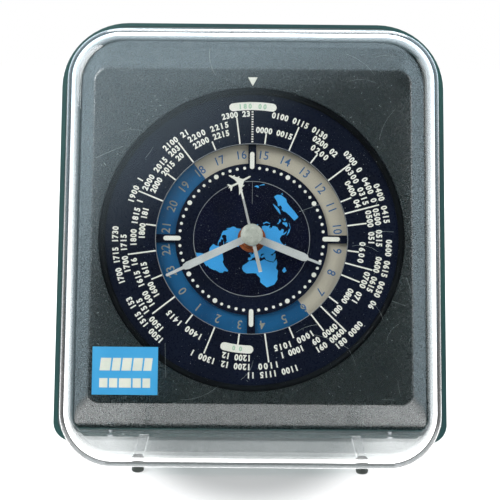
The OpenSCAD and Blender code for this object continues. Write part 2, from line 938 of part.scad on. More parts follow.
module plate_pillars() {
    color("#c9b98a")
        dial_frame()
            pillar_places()
                union() {
                    disc(2.4, plate_back, plate_back - movement_face);
                    disc(1.1, plate_back - 1, plate_back - 1 - movement_face + movement_t);
                }
}

module plate_screws() {
    color("#b9bcc0")
        dial_frame()
            pillar_places()
                difference() {
                    disc(2, housing_face, 1.3);
                    translate([0, 0, housing_face - 1.3])
                        cube([4.4, 0.5, 1], center = true);
                }
}

module transfer_post() {
    color("#c9b98a")
        dial_frame()
            around(transfer_angle, train_distance) {
                disc(post_r, ring_wheel_face + 0.4, ring_wheel_face + 0.4 - housing_face);
                disc(1.6, hour_pinion_face - wheel_t - 0.3,
                    hour_pinion_face - wheel_t - 0.3 - movement_face);
            }
}

// Closed movement box with a raised balance cover
module movement_housing() {
    color("#3b3f42")
        dial_frame()
            difference() {
                union() {
                    plate(housing_w, housing_h, 5, housing_face, housing_face - housing_back - 2);
                    plate(housing_w - 4, housing_h - 4, 4, housing_back + 2.1, 2.1);
                }
                disc(second_r + running, 0, -housing_face + 4.5);
                around(minute_arbor_angle, train_distance) disc(arbor_r + running, 0, through);
                housing_screw_places() disc(1, housing_back + 5, 8);
                translate([-regulator_x, regulator_y, 0]) disc(0.9, housing_back + 4, 8);
            }
}

module housing_screw_places() {
    x = housing_w / 2 - 6;
    y = housing_h / 2 - 6;
    for (p = [[-x, -y], [x, -y], [0, y + 1]]) translate([p.x, p.y, 0]) children();
}

module movement_screws() {
    color("#b9bcc0")
        dial_frame()
            housing_screw_places()
                union() {
                    disc(1, housing_back + 4, 4);
                    disc(1.9, housing_back, 0.8);
                }
}

// Small lever that sets the rate, turning on a pin in the movement
module regulator_lever() {
    tip = -well_floor + case_wall + 1.5 + housing_back;
    color("#b8442e")
        dial_frame()
            translate([-regulator_x, regulator_y, 0])
                union() {
                    disc(0.85, housing_back + 3.5, 3.6);
                    translate([0, 0, housing_back - 0.8])
                        linear_extrude(0.7)
                            union() {
                                circle(1.8);
                                translate([-0.6, 0]) square([1.2, lever_l + 0.5]);
                            }
                    translate([-0.5, lever_l - 0.5, housing_back - tip - 0.8])
                        cube([1, 1, tip]);
                }
}

coil_x = 40;

module drive_coil() {
    color("#a3552a")
        dial_frame()
            translate([coil_x, 0, 0])
                difference() {
                    union() {
                        disc(6.6, housing_face - 1, 8);
                        disc(8, housing_face, 1.1);
                        disc(8, housing_face - 8.9, 1.1);
                    }
                    disc(2.5, 0, through);
                }
}

board_x = -43;

module circuit_board() {
    color("#7a5a2c")
        dial_frame()
            translate([board_x, 0, 0])
                difference() {
                    plate(20, 26, 1.5, housing_face, 1.4);
                    for (y = [-5, 5]) translate([0, y, 0]) disc(0.6, 0, through);
                }
}

module transistor() {
    color("#9ba0a6")
        dial_frame()
            translate([board_x, 5, 0]) {
                disc(2.9, housing_face - 1.4, 0.8);
                disc(2.3, housing_face - 2.2, 4.6);
            }
}

module capacitor() {
    color("#35506e")
        dial_frame()
            translate([board_x, -5, 0]) disc(3, housing_face - 1.4, 9);
}

// Open tray for the cell, with end walls for the contacts
tray_l = cell_l + 5.6;
tray_wall = 1.4;

module battery_tray() {
    depth = cell_d + 1;
    color("#26302e")
        case_frame()
            translate([0, cell_y, cell_z])
                difference() {
                    translate([-tray_l / 2 - tray_wall, -depth / 2 - tray_floor, -bay_h / 2 + 0.4])
                        cube([tray_l + 2 * tray_wall, depth + tray_floor, bay_h - 0.8]);
                    rotate([0, 90, 0]) cylinder(r = cell_d / 2 + play, h = tray_l, center = true);
                    translate([-tray_l / 2, 0, -bay_h])
                        cube([tray_l, depth, 2 * bay_h]);
                    for (side = [-1, 1])
                        translate([side * (tray_l / 2 - 0.4) - 0.4, -depth / 2, -cell_d / 2])
                            cube([0.8, depth, bay_h]);
                }
}

module battery_cell() {
    color("#3c4147")
        case_frame()
            translate([-cell_l / 2, cell_y, cell_z])
                rotate([0, 90, 0])
                    union() {
                        cylinder(r = cell_d / 2, h = cell_l - 1.6);
                        cylinder(r = 3.7, h = cell_l);
                    }
}

contact_t = 0.4;
contact_w = cell_d * 0.46;
contact_h = cell_d * 0.69;

// Bent strip from the cell's end over the tray's wall
module contact_strip(side) {
    x = side * (tray_l / 2 - contact_t / 2 - 0.05);
    case_frame()
        translate([x, cell_y, cell_z])
            union() {
                cube([contact_t, contact_w, contact_h], center = true);
                translate([-contact_t / 2, -cell_d / 2 - 0.3, 4])
                    cube([contact_t, contact_w * 0.75, bay_h / 2 + 1]);
            }
}

module positive_contact() {
    color("#d8c27a") {
        contact_strip(1);
        case_frame()
            translate([cell_l / 2 + 0.05, cell_y, cell_z])
                rotate([0, 90, 0])
                    cylinder(r = 3.2, h = tray_l / 2 - cell_l / 2 - contact_t);
    }
}

// Leaf spring that presses on the cell's flat end
module negative_contact() {
    reach = tray_l / 2 - cell_l / 2 - 0.35;
    leaf = contact_h * 0.39;
    color("#d8c27a") {
        contact_strip(-1);
        case_frame()
            translate([-tray_l / 2 + 0.2, cell_y, cell_z])
                rotate([90, 0, 0])
                    linear_extrude(contact_w * 0.6, center = true)
                        polygon([[0, leaf], [reach, 1.5], [reach, -1.5], [0, -leaf],
                            [0, -leaf + 0.8], [reach - 0.5, -1.2], [reach - 0.5, 1.2],
                            [0, leaf - 0.8]]);
    }
}

door_w = bay_w - 2 * play;
door_pin_r = 0.7;
door_pin_l = 1.6;

module door_axis_place() {
    case_frame()
        translate([0, back_y - case_wall / 2, bay_low_z + play + case_wall / 2])
            children();
}

// Door that tips out on two round pins at its lower corners
module battery_door() {
    tall = bay_h - 2 * play - case_wall / 2;
    color("#2f5552")
        door_axis_place()
            rotate([-door_open, 0, 0])
                difference() {
                    union() {
                        translate([-door_w / 2, -case_wall / 2, 0])
                            cube([door_w, case_wall, tall]);
                        rotate([0, 90, 0]) {
                            cylinder(r = case_wall / 2, h = door_w, center = true);
                            cylinder(r = door_pin_r, h = door_w + 2 * door_pin_l, center = true);
                        }
                    }
                    for (i = [0:4])
                        translate([-10, case_wall / 2 - 0.6, tall - 4.1 - 1.6 * i])
                            cube([20, 1, 0.8]);
                }
}

module case_screws() {
    color("#b9bcc0")
        dial_frame()
            corner_places()
                union() {
                    disc(case_screw_r, plate_back + 4, screw_web + 4);
                    difference() {
                        disc(case_screw_head_r, plate_back - screw_web, 1.6);
                        translate([0, 0, plate_back - screw_web - 1.6])
                            cube([2 * case_screw_head_r + 0.2, 0.6, 1.2], center = true);
                    }
                }
}

label_w = 24;
label_h = 17.5;
label_x = -46;
label_z = 38.4;
label_gap = 0.002;

// Plain sticker on the hood's front, at its lower left
module cover_label() {
    color("#45aee0")
        case_frame()
            translate([label_x, label_z * slope - hood_depth - thin - label_gap, label_z])
                rotate([90 - lean, 0, 0])
                    linear_extrude(0.12)
                        square([label_w, label_h], center = true);
}

rear_case();
clear_cover();
dial_panel();
trim_ring();
panel_pointer();
dial_plate();
map_disc();
hour_batons();
minute_dots();
centre_nut();
zone_disc();
zone_pinion();
zone_knob();
hour_ring();
ring_carrier();
transfer_wheel();
hour_wheel();
hour_hand();
minute_wheel();
set_knob();
cannon_pinion();
minute_hand();
second_arbor();
second_hand();
hand_cap();
movement_plate();
plate_pillars();
movement_housing();
transfer_post();
drive_coil();
circuit_board();
transistor();
capacitor();
regulator_lever();
battery_tray();
battery_cell();
positive_contact();
negative_contact();
battery_door();
plate_screws();
case_screws();
movement_screws();
front_feet();
rear_feet();
cover_screws();
cover_label();
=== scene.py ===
import random
from math import cos, hypot, inf, pi, radians, sin, sqrt, tan

import bmesh
import bpy
from mathutils import Matrix, Vector


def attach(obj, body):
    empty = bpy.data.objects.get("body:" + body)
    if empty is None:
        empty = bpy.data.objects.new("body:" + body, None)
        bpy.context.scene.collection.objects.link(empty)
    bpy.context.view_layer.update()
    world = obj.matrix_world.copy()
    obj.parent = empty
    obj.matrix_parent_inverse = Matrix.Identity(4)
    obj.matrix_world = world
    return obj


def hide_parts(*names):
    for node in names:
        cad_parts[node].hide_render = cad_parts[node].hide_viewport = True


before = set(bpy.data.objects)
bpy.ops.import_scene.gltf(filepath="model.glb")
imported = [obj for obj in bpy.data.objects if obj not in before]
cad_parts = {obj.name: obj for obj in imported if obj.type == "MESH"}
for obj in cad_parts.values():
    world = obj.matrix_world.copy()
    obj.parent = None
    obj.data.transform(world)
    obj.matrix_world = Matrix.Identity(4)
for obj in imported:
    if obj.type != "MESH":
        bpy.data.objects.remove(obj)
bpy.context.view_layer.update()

mm = 0.001

# the case and the dial, in millimetres, as the CAD has them
body = {
    "lean": 16,
    "middle": 8.4754,
    "caseWidth": 155.2, "caseLow": 1.8, "caseHigh": 165,
    "caseTopR": 27, "caseFootR": 7.5, "lipDepth": 2.6, "caseWall": 2.6,
    "backY": 60.3130, "backWidth": 149.2, "backLow": 2.8, "backHigh": 163,
    "backTopR": 22, "backFootR": 12.5, "backEdge": 8,
    "hoodRimWidth": 152.3, "hoodLow": 3.25, "hoodHigh": 163.55,
    "hoodRimR": 25.55, "hoodFootR": 6.05, "hoodWall": 2.6, "hoodDepth": 46,
    "hoodFrontWidth": 141, "hoodEdge": 7, "hoodCornerR": 20, "hoodDrop": 1.2,
    "floor": 5.85, "dialZ": 80.6,
}
lean = radians(body["lean"])
slope = tan(lean)
dialCentre = Vector((0, 7.336, body["dialZ"]))
dialUp = Vector((0, sin(lean), cos(lean)))
dialOut = Vector((0, -cos(lean), sin(lean)))


def onDial(x, up, out):
    return (dialCentre + Vector((x, 0, 0)) + dialUp * up + dialOut * out) * mm


def atAngle(angle, radius):
    turn = radians(angle)  # clockwise from the top of the dial
    return radius * sin(turn), radius * cos(turn)


def circle(steps):
    return [2 * pi * i / steps for i in range(steps)]


def colour(code):
    parts = [int(code[i:i + 2], 16) / 255 for i in (1, 3, 5)]
    return tuple(c / 12.92 if c <= 0.04045 else ((c + 0.055) / 1.055) ** 2.4
                 for c in parts) + (1,)


def addNode(tree, kind, inputs=(), **settings):
    # a node given as an input stands for its first output
    node = tree.nodes.new("ShaderNode" + kind)
    for name, value in settings.items():
        setattr(node, name, value)
    for key, value in dict(inputs).items():
        if isinstance(value, bpy.types.Node):
            value = value.outputs[0]
        if isinstance(value, bpy.types.NodeSocket):
            tree.links.new(value, node.inputs[key])
        else:
            node.inputs[key].default_value = value
    return node


def newMaterial(name):
    material = bpy.data.materials.new(name)
    material.use_nodes = True
    material.node_tree.nodes.clear()
    return material, material.node_tree


def addObject(name, data):
    thing = bpy.data.objects.new(name, data)
    bpy.context.collection.objects.link(thing)
    return thing


# A surface with a broad drift of colour, a fine grain in its gloss and relief, and fixed
# metal and coat values. Sizes are in millimetres on the real object. Where keeps is given,
# the surface has its own colour only there, and the other one beyond.
plainSurface = {
    "drift": 30, "grain": 0.8, "depth": 0.01, "rough": 0.5, "spread": 0.06, "metal": 0,
    "gloss": 0.5, "coat": 0, "coatRough": 0.1, "stretch": (1, 1, 1), "speck": None,
    "speckSize": 2.2, "speckShare": 0.08, "keeps": None, "other": None,
}


def surface(name, main, shade, **changes):
    s = {**plainSurface, **changes}
    material, tree = newMaterial(name)
    place = addNode(tree, "TexCoord").outputs["Object"]
    stretched = addNode(tree, "Mapping", {"Vector": place, "Scale": s["stretch"]})
    broad = addNode(tree, "TexNoise", {
        "Vector": place, "Scale": 1 / (s["drift"] * mm), "Detail": 3, "Roughness": 0.55})
    fine = addNode(tree, "TexNoise", {
        "Vector": stretched, "Scale": 1 / (s["grain"] * mm), "Detail": 4})
    drift = addNode(tree, "MapRange", {"Value": broad, "From Min": 0.35, "From Max": 0.65})
    tone = addNode(tree, "Mix", {
        0: drift, 6: colour(main), 7: colour(shade)}, data_type="RGBA").outputs[2]
    if s["keeps"]:
        tone = addNode(tree, "Mix", {
            0: s["keeps"](tree, place), 6: colour(s["other"]), 7: tone},
            data_type="RGBA").outputs[2]
    if s["speck"]:
        cells = addNode(tree, "TexVoronoi", {
            "Vector": place, "Scale": 1 / (s["speckSize"] * mm), "Randomness": 1})
        spot = addNode(tree, "MapRange", {
            "Value": cells, "From Min": s["speckShare"], "From Max": s["speckShare"] * 0.6})
        tone = addNode(tree, "Mix", {
            0: spot, 6: tone, 7: colour(s["speck"])}, data_type="RGBA").outputs[2]
    gloss = addNode(tree, "MapRange", {
        "Value": fine, "From Min": 0.3, "From Max": 0.7, "To Min": s["rough"] - s["spread"],
        "To Max": s["rough"] + s["spread"]})
    relief = addNode(tree, "Bump", {"Height": fine, "Distance": s["depth"] * mm, "Strength": 0.6})
    shader = addNode(tree, "BsdfPrincipled", {
        "Base Color": tone, "Roughness": gloss, "Normal": relief, "Metallic": s["metal"],
        "Specular IOR Level": s["gloss"], "Coat Weight": s["coat"],
        "Coat Roughness": s["coatRough"]})
    addNode(tree, "OutputMaterial", {"Surface": shader})
    return material


print("materials")


# ABS moulded in a satin tool: a soft sheen with a faint spark-eroded grain
caseGreen = surface(
    "mouldedAbsGreen", "#2c5450", "#27494a", drift=45, grain=0.45, depth=0.02, rough=0.34)
# the same plastic in a nearly black mix, smooth enough to mirror the room as a grey veil
panelGreen = surface(
    "mouldedAbsDarkGreen", "#111d1d", "#0d1616", drift=60, grain=0.5, depth=0.0006, rough=0.27,
    spread=0.03, gloss=1, coat=0.6, coatRough=0.24, speck="#3f4b49", speckSize=9, speckShare=0.012)
# black styrene with little of its polish left: a dark line round the dial
trimBlack = surface(
    "polishedBlackStyrene", "#101315", "#0b0d0f", drift=20, grain=0.6, depth=0.002, rough=0.3,
    spread=0.04, gloss=0.04)
# screen-printed navy lacquer: deep and nearly black, with a soft gloss
dialNavy = surface(
    "printedNavyLacquer", "#10172a", "#0c1120", drift=40, grain=0.7, depth=0.004, rough=0.3,
    spread=0.07, gloss=0.12, speck="#5a6478", speckSize=7, speckShare=0.02)
# the map's ground is a little bluer and glossier than the dial
mapNavy = surface(
    "printedMapNavy", "#0a0e26", "#080b1c", drift=18, grain=0.6, depth=0.003, rough=0.26,
    spread=0.05, gloss=0.2)
# opaque blue screen ink, flat and bright
mapBlue = surface(
    "screenInkBlue", "#3aaef5", "#35a6ee", drift=9, grain=0.3, depth=0.004, spread=0.05)
# cream screen ink: matt, a touch uneven at its edges
creamInk = surface(
    "screenInkCream", "#fefcf2", "#f5f3e5", drift=12, grain=0.25, depth=0.006, rough=0.6)
# thin cream line faded by gloss over it; the same grey also paints a highlight on the zone disc's
# cut edge
lineInkAndEdgeHighlight = surface("screenInkFadedAndEdgeHighlight", "#a7abac", "#7e8489", drift=14, grain=0.3, depth=0.003)
# pale green ink on the two cream tabs
greenInk = surface(
    "screenInkPaleGreen", "#b9d8b8", "#a8cdb0", drift=8, grain=0.3, depth=0.003, rough=0.6,
    spread=0.05)

ring = {"nightMiddle": 232.5, "night": "#1f6a9e", "nightShade": "#164e7c", "day": "#cdc4b1",
        "dayInk": "#2d6296"}


def onNight(tree, place):
    # the ring is split along a line through its numbers 18 and 6
    x, up = atAngle(ring["nightMiddle"], 1)
    towards = Vector((x, 0, 0)) + dialUp * up
    offset = addNode(tree, "VectorMath", {0: place, 1: dialCentre * mm}, operation="SUBTRACT")
    side = addNode(tree, "VectorMath", {0: offset, 1: towards}, operation="DOT_PRODUCT")
    return addNode(tree, "Math", {0: side.outputs["Value"], 1: 0.0}, operation="GREATER_THAN")


# cast acrylic sheet tinted from behind: a wet gloss, blue for night and warm grey for day
ringAcrylic = surface(
    "castAcrylicNightAndDay", ring["night"], ring["nightShade"], drift=26, depth=0.004, rough=0.22,
    spread=0.05, coat=0.3, keeps=onNight, other=ring["day"])

secondHand = {"cream": "#f4f2e6", "armEnd": 16.5}


def onArm(tree, place):
    # the arm is grey, and the aeroplane at its end has the other colour, cream
    offset = addNode(tree, "VectorMath", {0: place, 1: dialCentre * mm}, operation="DISTANCE")
    return addNode(tree, "Math", {
        0: offset.outputs["Value"], 1: secondHand["armEnd"] * mm}, operation="LESS_THAN")


# satin paint on stamped brass: soft grey with a fine drawn grain
handPaint = surface(
    "satinSilverPaint", "#d6d8d5", "#c9cbc8", drift=7, grain=0.35, depth=0.008, rough=0.42,
    spread=0.08, metal=0.15)
secondPaint = surface(
    "satinSilverAndCreamPaint", "#bfbfbc", "#b0b0ab", drift=7, grain=0.35, depth=0.008, rough=0.45,
    spread=0.08, keeps=onArm, other=secondHand["cream"])
# thick metallic paint that dried rough on the cap
capPaint = surface(
    "roughSilverPaint", "#c6c8bc", "#a7aa9e", drift=2.2, grain=0.5, depth=0.09, spread=0.12,
    metal=0.1, speck="#7f8279", speckSize=1.1, speckShare=0.16)
# copper lacquer on the turned nut: warm and dull
nutCopper = surface(
    "copperLacqueredBrass", "#b8683c", "#9a5530", drift=3, grain=0.3, rough=0.38, spread=0.08,
    metal=0.55)
# cut brass: bright, with turning marks
brass = surface(
    "hobbedBrass", "#d8b66a", "#c09b50", drift=6, grain=0.35, rough=0.3, spread=0.08, metal=1,
    stretch=(1, 6, 1))
steel = surface(
    "turnedSteel", "#c4c6c9", "#a9acb0", drift=3, grain=0.25, depth=0.008, rough=0.3, spread=0.08,
    metal=1, stretch=(6, 1, 1))
# zinc plate: pale with cloudy crystals
zinc = surface("zincPlatedSheet", "#c3c2b8", "#a8a79e", drift=7, rough=0.4, spread=0.1, metal=0.9)
# drawn can of plain aluminium
canAluminium = surface(
    "drawnAluminiumCan", "#b9bdc2", "#a2a6ac", drift=4, grain=0.3, depth=0.006, rough=0.32, metal=1,
    stretch=(1, 1, 8))
# nickel on spring brass, slightly yellow where it has worn
nickel = surface(
    "nickelPlatedSpringBrass", "#d6cdb2", "#c3b184", drift=5, grain=0.3, depth=0.005, rough=0.24,
    metal=1)
# enamelled wire in close turns of 0.5 mm, drawn as fine bands
coilWire = surface(
    "enamelledCopperWinding", "#a8501f", "#7d3613", drift=1.4, grain=0.5, depth=0.12, rough=0.35,
    spread=0.08, metal=0.6, stretch=(0.1, 1, 1))
# brown paper laminate with a faint weave
laminate = surface(
    "phenolicPaperLaminate", "#7c5527", "#68451d", drift=6, grain=0.5, rough=0.55, stretch=(1, 4,
    1))
sleeveBlue = surface(
    "shrunkVinylSleeveBlue", "#31557e", "#2a496c", drift=5, grain=0.5, rough=0.35, spread=0.05)
# acetal lever: red and waxy
leverRed = surface(
    "mouldedAcetalRed", "#b23a26", "#9a2f1e", drift=4, grain=0.4, rough=0.4, spread=0.05)
# polystyrene box over the movement
housingGrey = surface(
    "mouldedStyreneGrey", "#4a4f53", "#40454a", drift=20, grain=0.6, depth=0.02, rough=0.48)
trayBlack = surface(
    "mouldedStyreneBlack", "#222a29", "#1b2221", drift=20, grain=0.6, depth=0.02, rough=0.46)
knobBlack = surface(
    "mouldedPhenolicBlack", "#1b1f1f", "#141818", drift=8, grain=0.5, rough=0.3, coat=0.2)
# unpainted acetal: ivory and slightly see-through, here only its colour shows
ivory = surface(
    "mouldedAcetalIvory", "#d9d2bd", "#cbc3ab", drift=12, grain=0.6, rough=0.4, spread=0.05)
# cell with a lacquered steel jacket in two plain tones
cellJacket = surface(
    "lacqueredSteelJacket", "#33404a", "#2b3640", drift=16, grain=0.5, depth=0.004, rough=0.28,
    spread=0.05, metal=0.3, coat=0.4)
# soft rubber: no gloss at all
rubber = surface(
    "softBlackRubber", "#2c322e", "#242926", drift=5, grain=0.4, depth=0.03, rough=0.78)
# printed film with a smooth gloss
labelBlue = surface(
    "glossPaperFilmBlue", "#48aee4", "#40a6de", drift=12, grain=0.5, depth=0.004, rough=0.32,
    spread=0.04)
labelWhite = surface(
    "screenInkWhite", "#e9ecdc", "#dbe2d4", drift=6, grain=0.3, depth=0.003, spread=0.04)
dust = surface(
    "dryDust", "#b8c0bf", "#8f9998", drift=3, grain=0.2, depth=0.02, rough=0.8, spread=0.1)


# clear sheet values, then a milky white and a faint glow painted where the sheet is seen edge-on: a
# painted highlight and glow
sheet = {
    "tint": "#fafbfb", "ior": 1.49, "waveSize": 40, "waveDepth": 0.05, "hazeSize": 15,
    "haze": 0.03, "paintedEdgeMilk": "#ccd0d2", "paintedEdgeGlow": "#f4f6ff", "paintedEdgeGlowStrength": 0.07,
    "paintedEdgeFrom": 0.66, "paintedEdgeTo": 0.97, "paintedEdgeShare": 0.8, "passing": "#f8fafa",
}


def clearAcrylic():
    # polished cast acrylic: clear, with a painted white highlight and a faint painted glow on its
    # rounded edges; light passes to what is inside
    material, tree = newMaterial("polishedClearAcrylicPaintedEdges")
    place = addNode(tree, "TexCoord").outputs["Object"]
    rays = addNode(tree, "LightPath")
    wave = addNode(tree, "TexNoise", {
        "Vector": place, "Scale": 1 / (sheet["waveSize"] * mm), "Detail": 1})
    relief = addNode(tree, "Bump", {
        "Height": wave, "Distance": sheet["waveDepth"] * mm, "Strength": 0.15})
    haze = addNode(tree, "TexNoise", {
        "Vector": place, "Scale": 1 / (sheet["hazeSize"] * mm), "Detail": 4})
    rough = addNode(tree, "MapRange", {
        "Value": haze, "From Min": 0.35, "From Max": 0.7, "To Min": 0.0, "To Max": sheet["haze"]})
    glass = addNode(tree, "BsdfPrincipled", {
        "Base Color": colour(sheet["tint"]), "Roughness": rough, "IOR": sheet["ior"],
        "Transmission Weight": 1.0, "Normal": relief})
    # seen along its surface the sheet is painted milky white with a faint glow: a painted highlight
    # and glow in place of the light that fills thick edges
    facing = addNode(tree, "LayerWeight", {"Blend": 0.5}).outputs["Facing"]
    along = addNode(tree, "MapRange", {
        "Value": facing, "From Min": sheet["paintedEdgeFrom"], "From Max": sheet["paintedEdgeTo"], "To Min": 0.0,
        "To Max": sheet["paintedEdgeShare"]})
    paintedEdgeMilk = addNode(tree, "BsdfPrincipled", {
        "Base Color": colour(sheet["paintedEdgeMilk"]), "Roughness": rough,
        "Emission Color": colour(sheet["paintedEdgeGlow"]), "Emission Strength": sheet["paintedEdgeGlowStrength"]})
    solid = addNode(tree, "MixShader", {0: along, 1: glass, 2: paintedEdgeMilk})
    passing = addNode(tree, "BsdfTransparent", {"Color": colour(sheet["passing"])})
    unseen = addNode(tree, "Math", {
        0: rays.outputs["Is Shadow Ray"], 1: rays.outputs["Is Diffuse Ray"]}, operation="MAXIMUM")
    mixed = addNode(tree, "MixShader", {0: unseen, 1: solid, 2: passing})
    addNode(tree, "OutputMaterial", {"Surface": mixed})
    return material


acrylic = clearAcrylic()

# the finish of each CAD node
finishes = (
    (caseGreen, "rear_case battery_door"), (panelGreen, "dial_panel"), (trimBlack, "trim_ring"),
    (acrylic, "clear_cover"), (dialNavy, "dial_plate zone_disc"), (mapNavy, "map_disc"),
    (creamInk, "panel_pointer hour_batons minute_dots"), (ringAcrylic, "hour_ring"),
    (handPaint, "hour_hand minute_hand"), (secondPaint, "second_hand"), (capPaint, "hand_cap"),
    (nutCopper, "centre_nut"), (ivory, "ring_carrier"), (knobBlack, "zone_knob set_knob"),
    (brass, "zone_pinion transfer_wheel hour_wheel minute_wheel cannon_pinion plate_pillars"),
    (steel, "second_arbor transfer_post plate_screws case_screws movement_screws cover_screws"),
    (zinc, "movement_plate"), (housingGrey, "movement_housing"), (coilWire, "drive_coil"),
    (laminate, "circuit_board"), (canAluminium, "transistor"), (sleeveBlue, "capacitor"),
    (leverRed, "regulator_lever"), (trayBlack, "battery_tray"), (cellJacket, "battery_cell"),
    (nickel, "positive_contact negative_contact"), (rubber, "front_feet rear_feet"),
    (labelBlue, "cover_label"),
)
for material, names in finishes:
    for name in names.split():
        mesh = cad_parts[name].data
        mesh.materials.clear()
        mesh.materials.append(material)


print("shapes")


def closedMesh(name, points, faces):
    # every face of the closed form looks outwards
    mesh = bpy.data.meshes.new(name)
    mesh.from_pydata([tuple(p) for p in points], [], faces)
    work = bmesh.new()
    work.from_mesh(mesh)
    bmesh.ops.recalc_face_normals(work, faces=work.faces)
    work.to_mesh(mesh)
    work.free()
    return mesh


def roundOver(mesh, angle):
    # edges flatter than the angle are shaded as one smooth surface
    mesh.shade_smooth()
    mesh.set_sharp_from_angle(angle=radians(angle))


def dress(name, mesh, material, rides):
    mesh.materials.append(material)
    piece = addObject(name, mesh)
    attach(piece, rides)
    return piece


def makePiece(name, points, faces, material, rides, slot, smooth=None):
    mesh = closedMesh(name, points, faces)
    if smooth:
        roundOver(mesh, smooth)
    return dress(name, mesh, material, rides)


# Outline with round corners in width and height; the same count of points for every size
def outline(width, low, high, topR, lowR, steps=14):
    points = []
    for x, z, r, start in ((width / 2 - topR, high - topR, topR, 0),
                           (-width / 2 + topR, high - topR, topR, 90),
                           (-width / 2 + lowR, low + lowR, lowR, 180),
                           (width / 2 - lowR, low + lowR, lowR, 270)):
        for i in range(steps + 1):
            turn = radians(start + 90 * i / steps)
            points.append((x + r * cos(turn), z + r * sin(turn)))
    return points


def leaning(offset, width, low, high, topR, lowR):
    # a slice parallel to the dial; its corners are round in its own plane
    tall = cos(lean)
    return [Vector((x, z * sin(lean) + offset - body["middle"], z * tall)) * mm
            for x, z in outline(width, low / tall, high / tall, topR, lowR)]


def upright(y, width, low, high, topR, lowR):
    return [Vector((x, y - body["middle"], z)) * mm
            for x, z in outline(width, low, high, topR, lowR)]


def loft(slices, loop=False):
    # joins slices that have the same count of points, and closes both ends or the loop
    count = len(slices[0])
    points = [p for part in slices for p in part]
    faces = []
    for a in range(len(slices) if loop else len(slices) - 1):
        b = (a + 1) % len(slices)
        for i in range(count):
            j = (i + 1) % count
            faces.append((a * count + i, a * count + j, b * count + j, b * count + i))
    if not loop:
        faces.append(tuple(range(count)))
        faces.append(tuple(range((len(slices) - 1) * count, len(slices) * count)))
    return points, faces


def merge(piece, other, how):
    # adds, takes away or keeps the part shared with another piece, which is used up
    modifier = piece.modifiers.new("form", "BOOLEAN")
    modifier.operation = how
    modifier.solver = "EXACT"
    modifier.object = other
    bpy.context.view_layer.update()
    seen = piece.evaluated_get(bpy.context.evaluated_depsgraph_get())
    mesh = bpy.data.meshes.new_from_object(seen)
    piece.modifiers.clear()
    piece.data = mesh
    bpy.data.objects.remove(other)


def combine(piece, form, how):
    merge(piece, addObject("tool", closedMesh("tool", *form)), how)


def drum(x, up, radius, out, depth, steps=64):
    # a round bar square to the dial, from level out back by depth
    return loft([[onDial(x + radius * cos(t), up + radius * sin(t), level)
                  for t in circle(steps)] for level in (out, out - depth)])


def block(low, high):
    (x0, y0, z0), (x1, y1, z1) = low, high
    return loft([[Vector(p) * mm for p in ((x0, y0, z), (x1, y0, z), (x1, y1, z), (x0, y1, z))]
                 for z in (z0, z1)])


def lathe(name, profile, material, rides, slot, steps, smooth=35):
    # a turned form about the dial's axis; the profile is a closed loop of radius and level
    slices = [[onDial(r * cos(t), r * sin(t), level) for r, level in profile]
              for t in circle(steps)]
    return makePiece(name, *loft(slices, loop=True), material, rides, slot, smooth)


print("hood")

rail = {"x": 41.5, "halfWidth": 1.8, "front": -35.95, "back": -3.6, "low": 2.35, "high": 3.22}


def hoodFront(inset, offset):
    return leaning(offset, body["hoodFrontWidth"] - 2 * inset, body["hoodLow"] + inset,
                   body["hoodHigh"] - body["hoodDrop"] - inset, body["hoodCornerR"] - inset,
                   body["hoodCornerR"] - inset)


def hoodRim(inset):
    return leaning(0, body["hoodRimWidth"] - 2 * inset, body["hoodLow"] + inset,
                   body["hoodHigh"] - inset, body["hoodRimR"] - inset, body["hoodFootR"] - inset)


def buildHood():
    edge, wall = body["hoodEdge"], body["hoodWall"]
    turns = [radians(a) for a in range(90, -1, -6)]
    outer = [hoodFront(edge * (1 - cos(t)), edge * (1 - sin(t)) - body["hoodDepth"])
             for t in turns]
    inner = edge - wall
    inside = [hoodFront(inner * (1 - cos(t)) + wall,
                        inner * (1 - sin(t)) - body["hoodDepth"] + wall / cos(lean))
              for t in reversed(turns)]
    hood = makePiece("hood", *loft(outer + [hoodRim(0), hoodRim(wall)] + inside), acrylic,
                     "clock", "clear_acrylic", smooth=28)
    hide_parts("clear_cover")
    front, back = rail["front"] - body["middle"], rail["back"] - body["middle"]
    for name, x in (("hoodRailLeft", -rail["x"]), ("hoodRailRight", rail["x"])):
        bar = block((x - rail["halfWidth"], front, rail["low"]),
                    (x + rail["halfWidth"], back, rail["high"]))
        makePiece(name, *bar, acrylic, "clock", "clear_acrylic")


buildHood()


print("rear case")

rear = {
    "ledgeWidth": 141.1, "ledgeLow": 8.85, "ledgeHigh": 157.95, "ledgeTopR": 20.5,
    "ledgeFootR": 4, "footGrowth": 13, "fit": 0.15, "wellWall": 2, "wellR": 20,
    "wellFloor": -35.4, "arborAngle": 130, "arborDistance": 12, "arborR": 1.05,
    "zoneWellR": 9.5, "zoneWellFloor": -24, "zoneAngle": 306.7, "zoneDistance": 63.6,
    "zoneShaftR": 1.55, "padX": 55.5, "padHigh": 57, "padLow": -47, "padR": 4, "padHoleR": 2.8,
    "padHead": 10, "plateBack": -9.2, "slotX": -13, "slotHalf": 2.2, "slotLow": 9.5,
    "slotHigh": 11.6, "slotFrom": -34, "slotTo": -40, "bayWidth": 62, "bayLow": 11.9,
    "bayHeight": 32.2, "bayDepth": 3.6, "behind": 80,
    # x, y, radius and top of the sockets of the rear feet and of the screws under the hood
    "sockets": ((54.6, 33.838, 5.15, 3.3), (55, -8.8435, 2, 2.4)),
}


def backSlice(turn, inset):
    roundness = body["backEdge"] - inset
    more = roundness * (1 - cos(turn)) + inset
    return upright(body["backY"] - inset - roundness * (1 - sin(turn)),
                   body["backWidth"] - 2 * more, body["backLow"] + more,
                   body["backHigh"] - more, body["backTopR"] - more, body["backFootR"] - more)


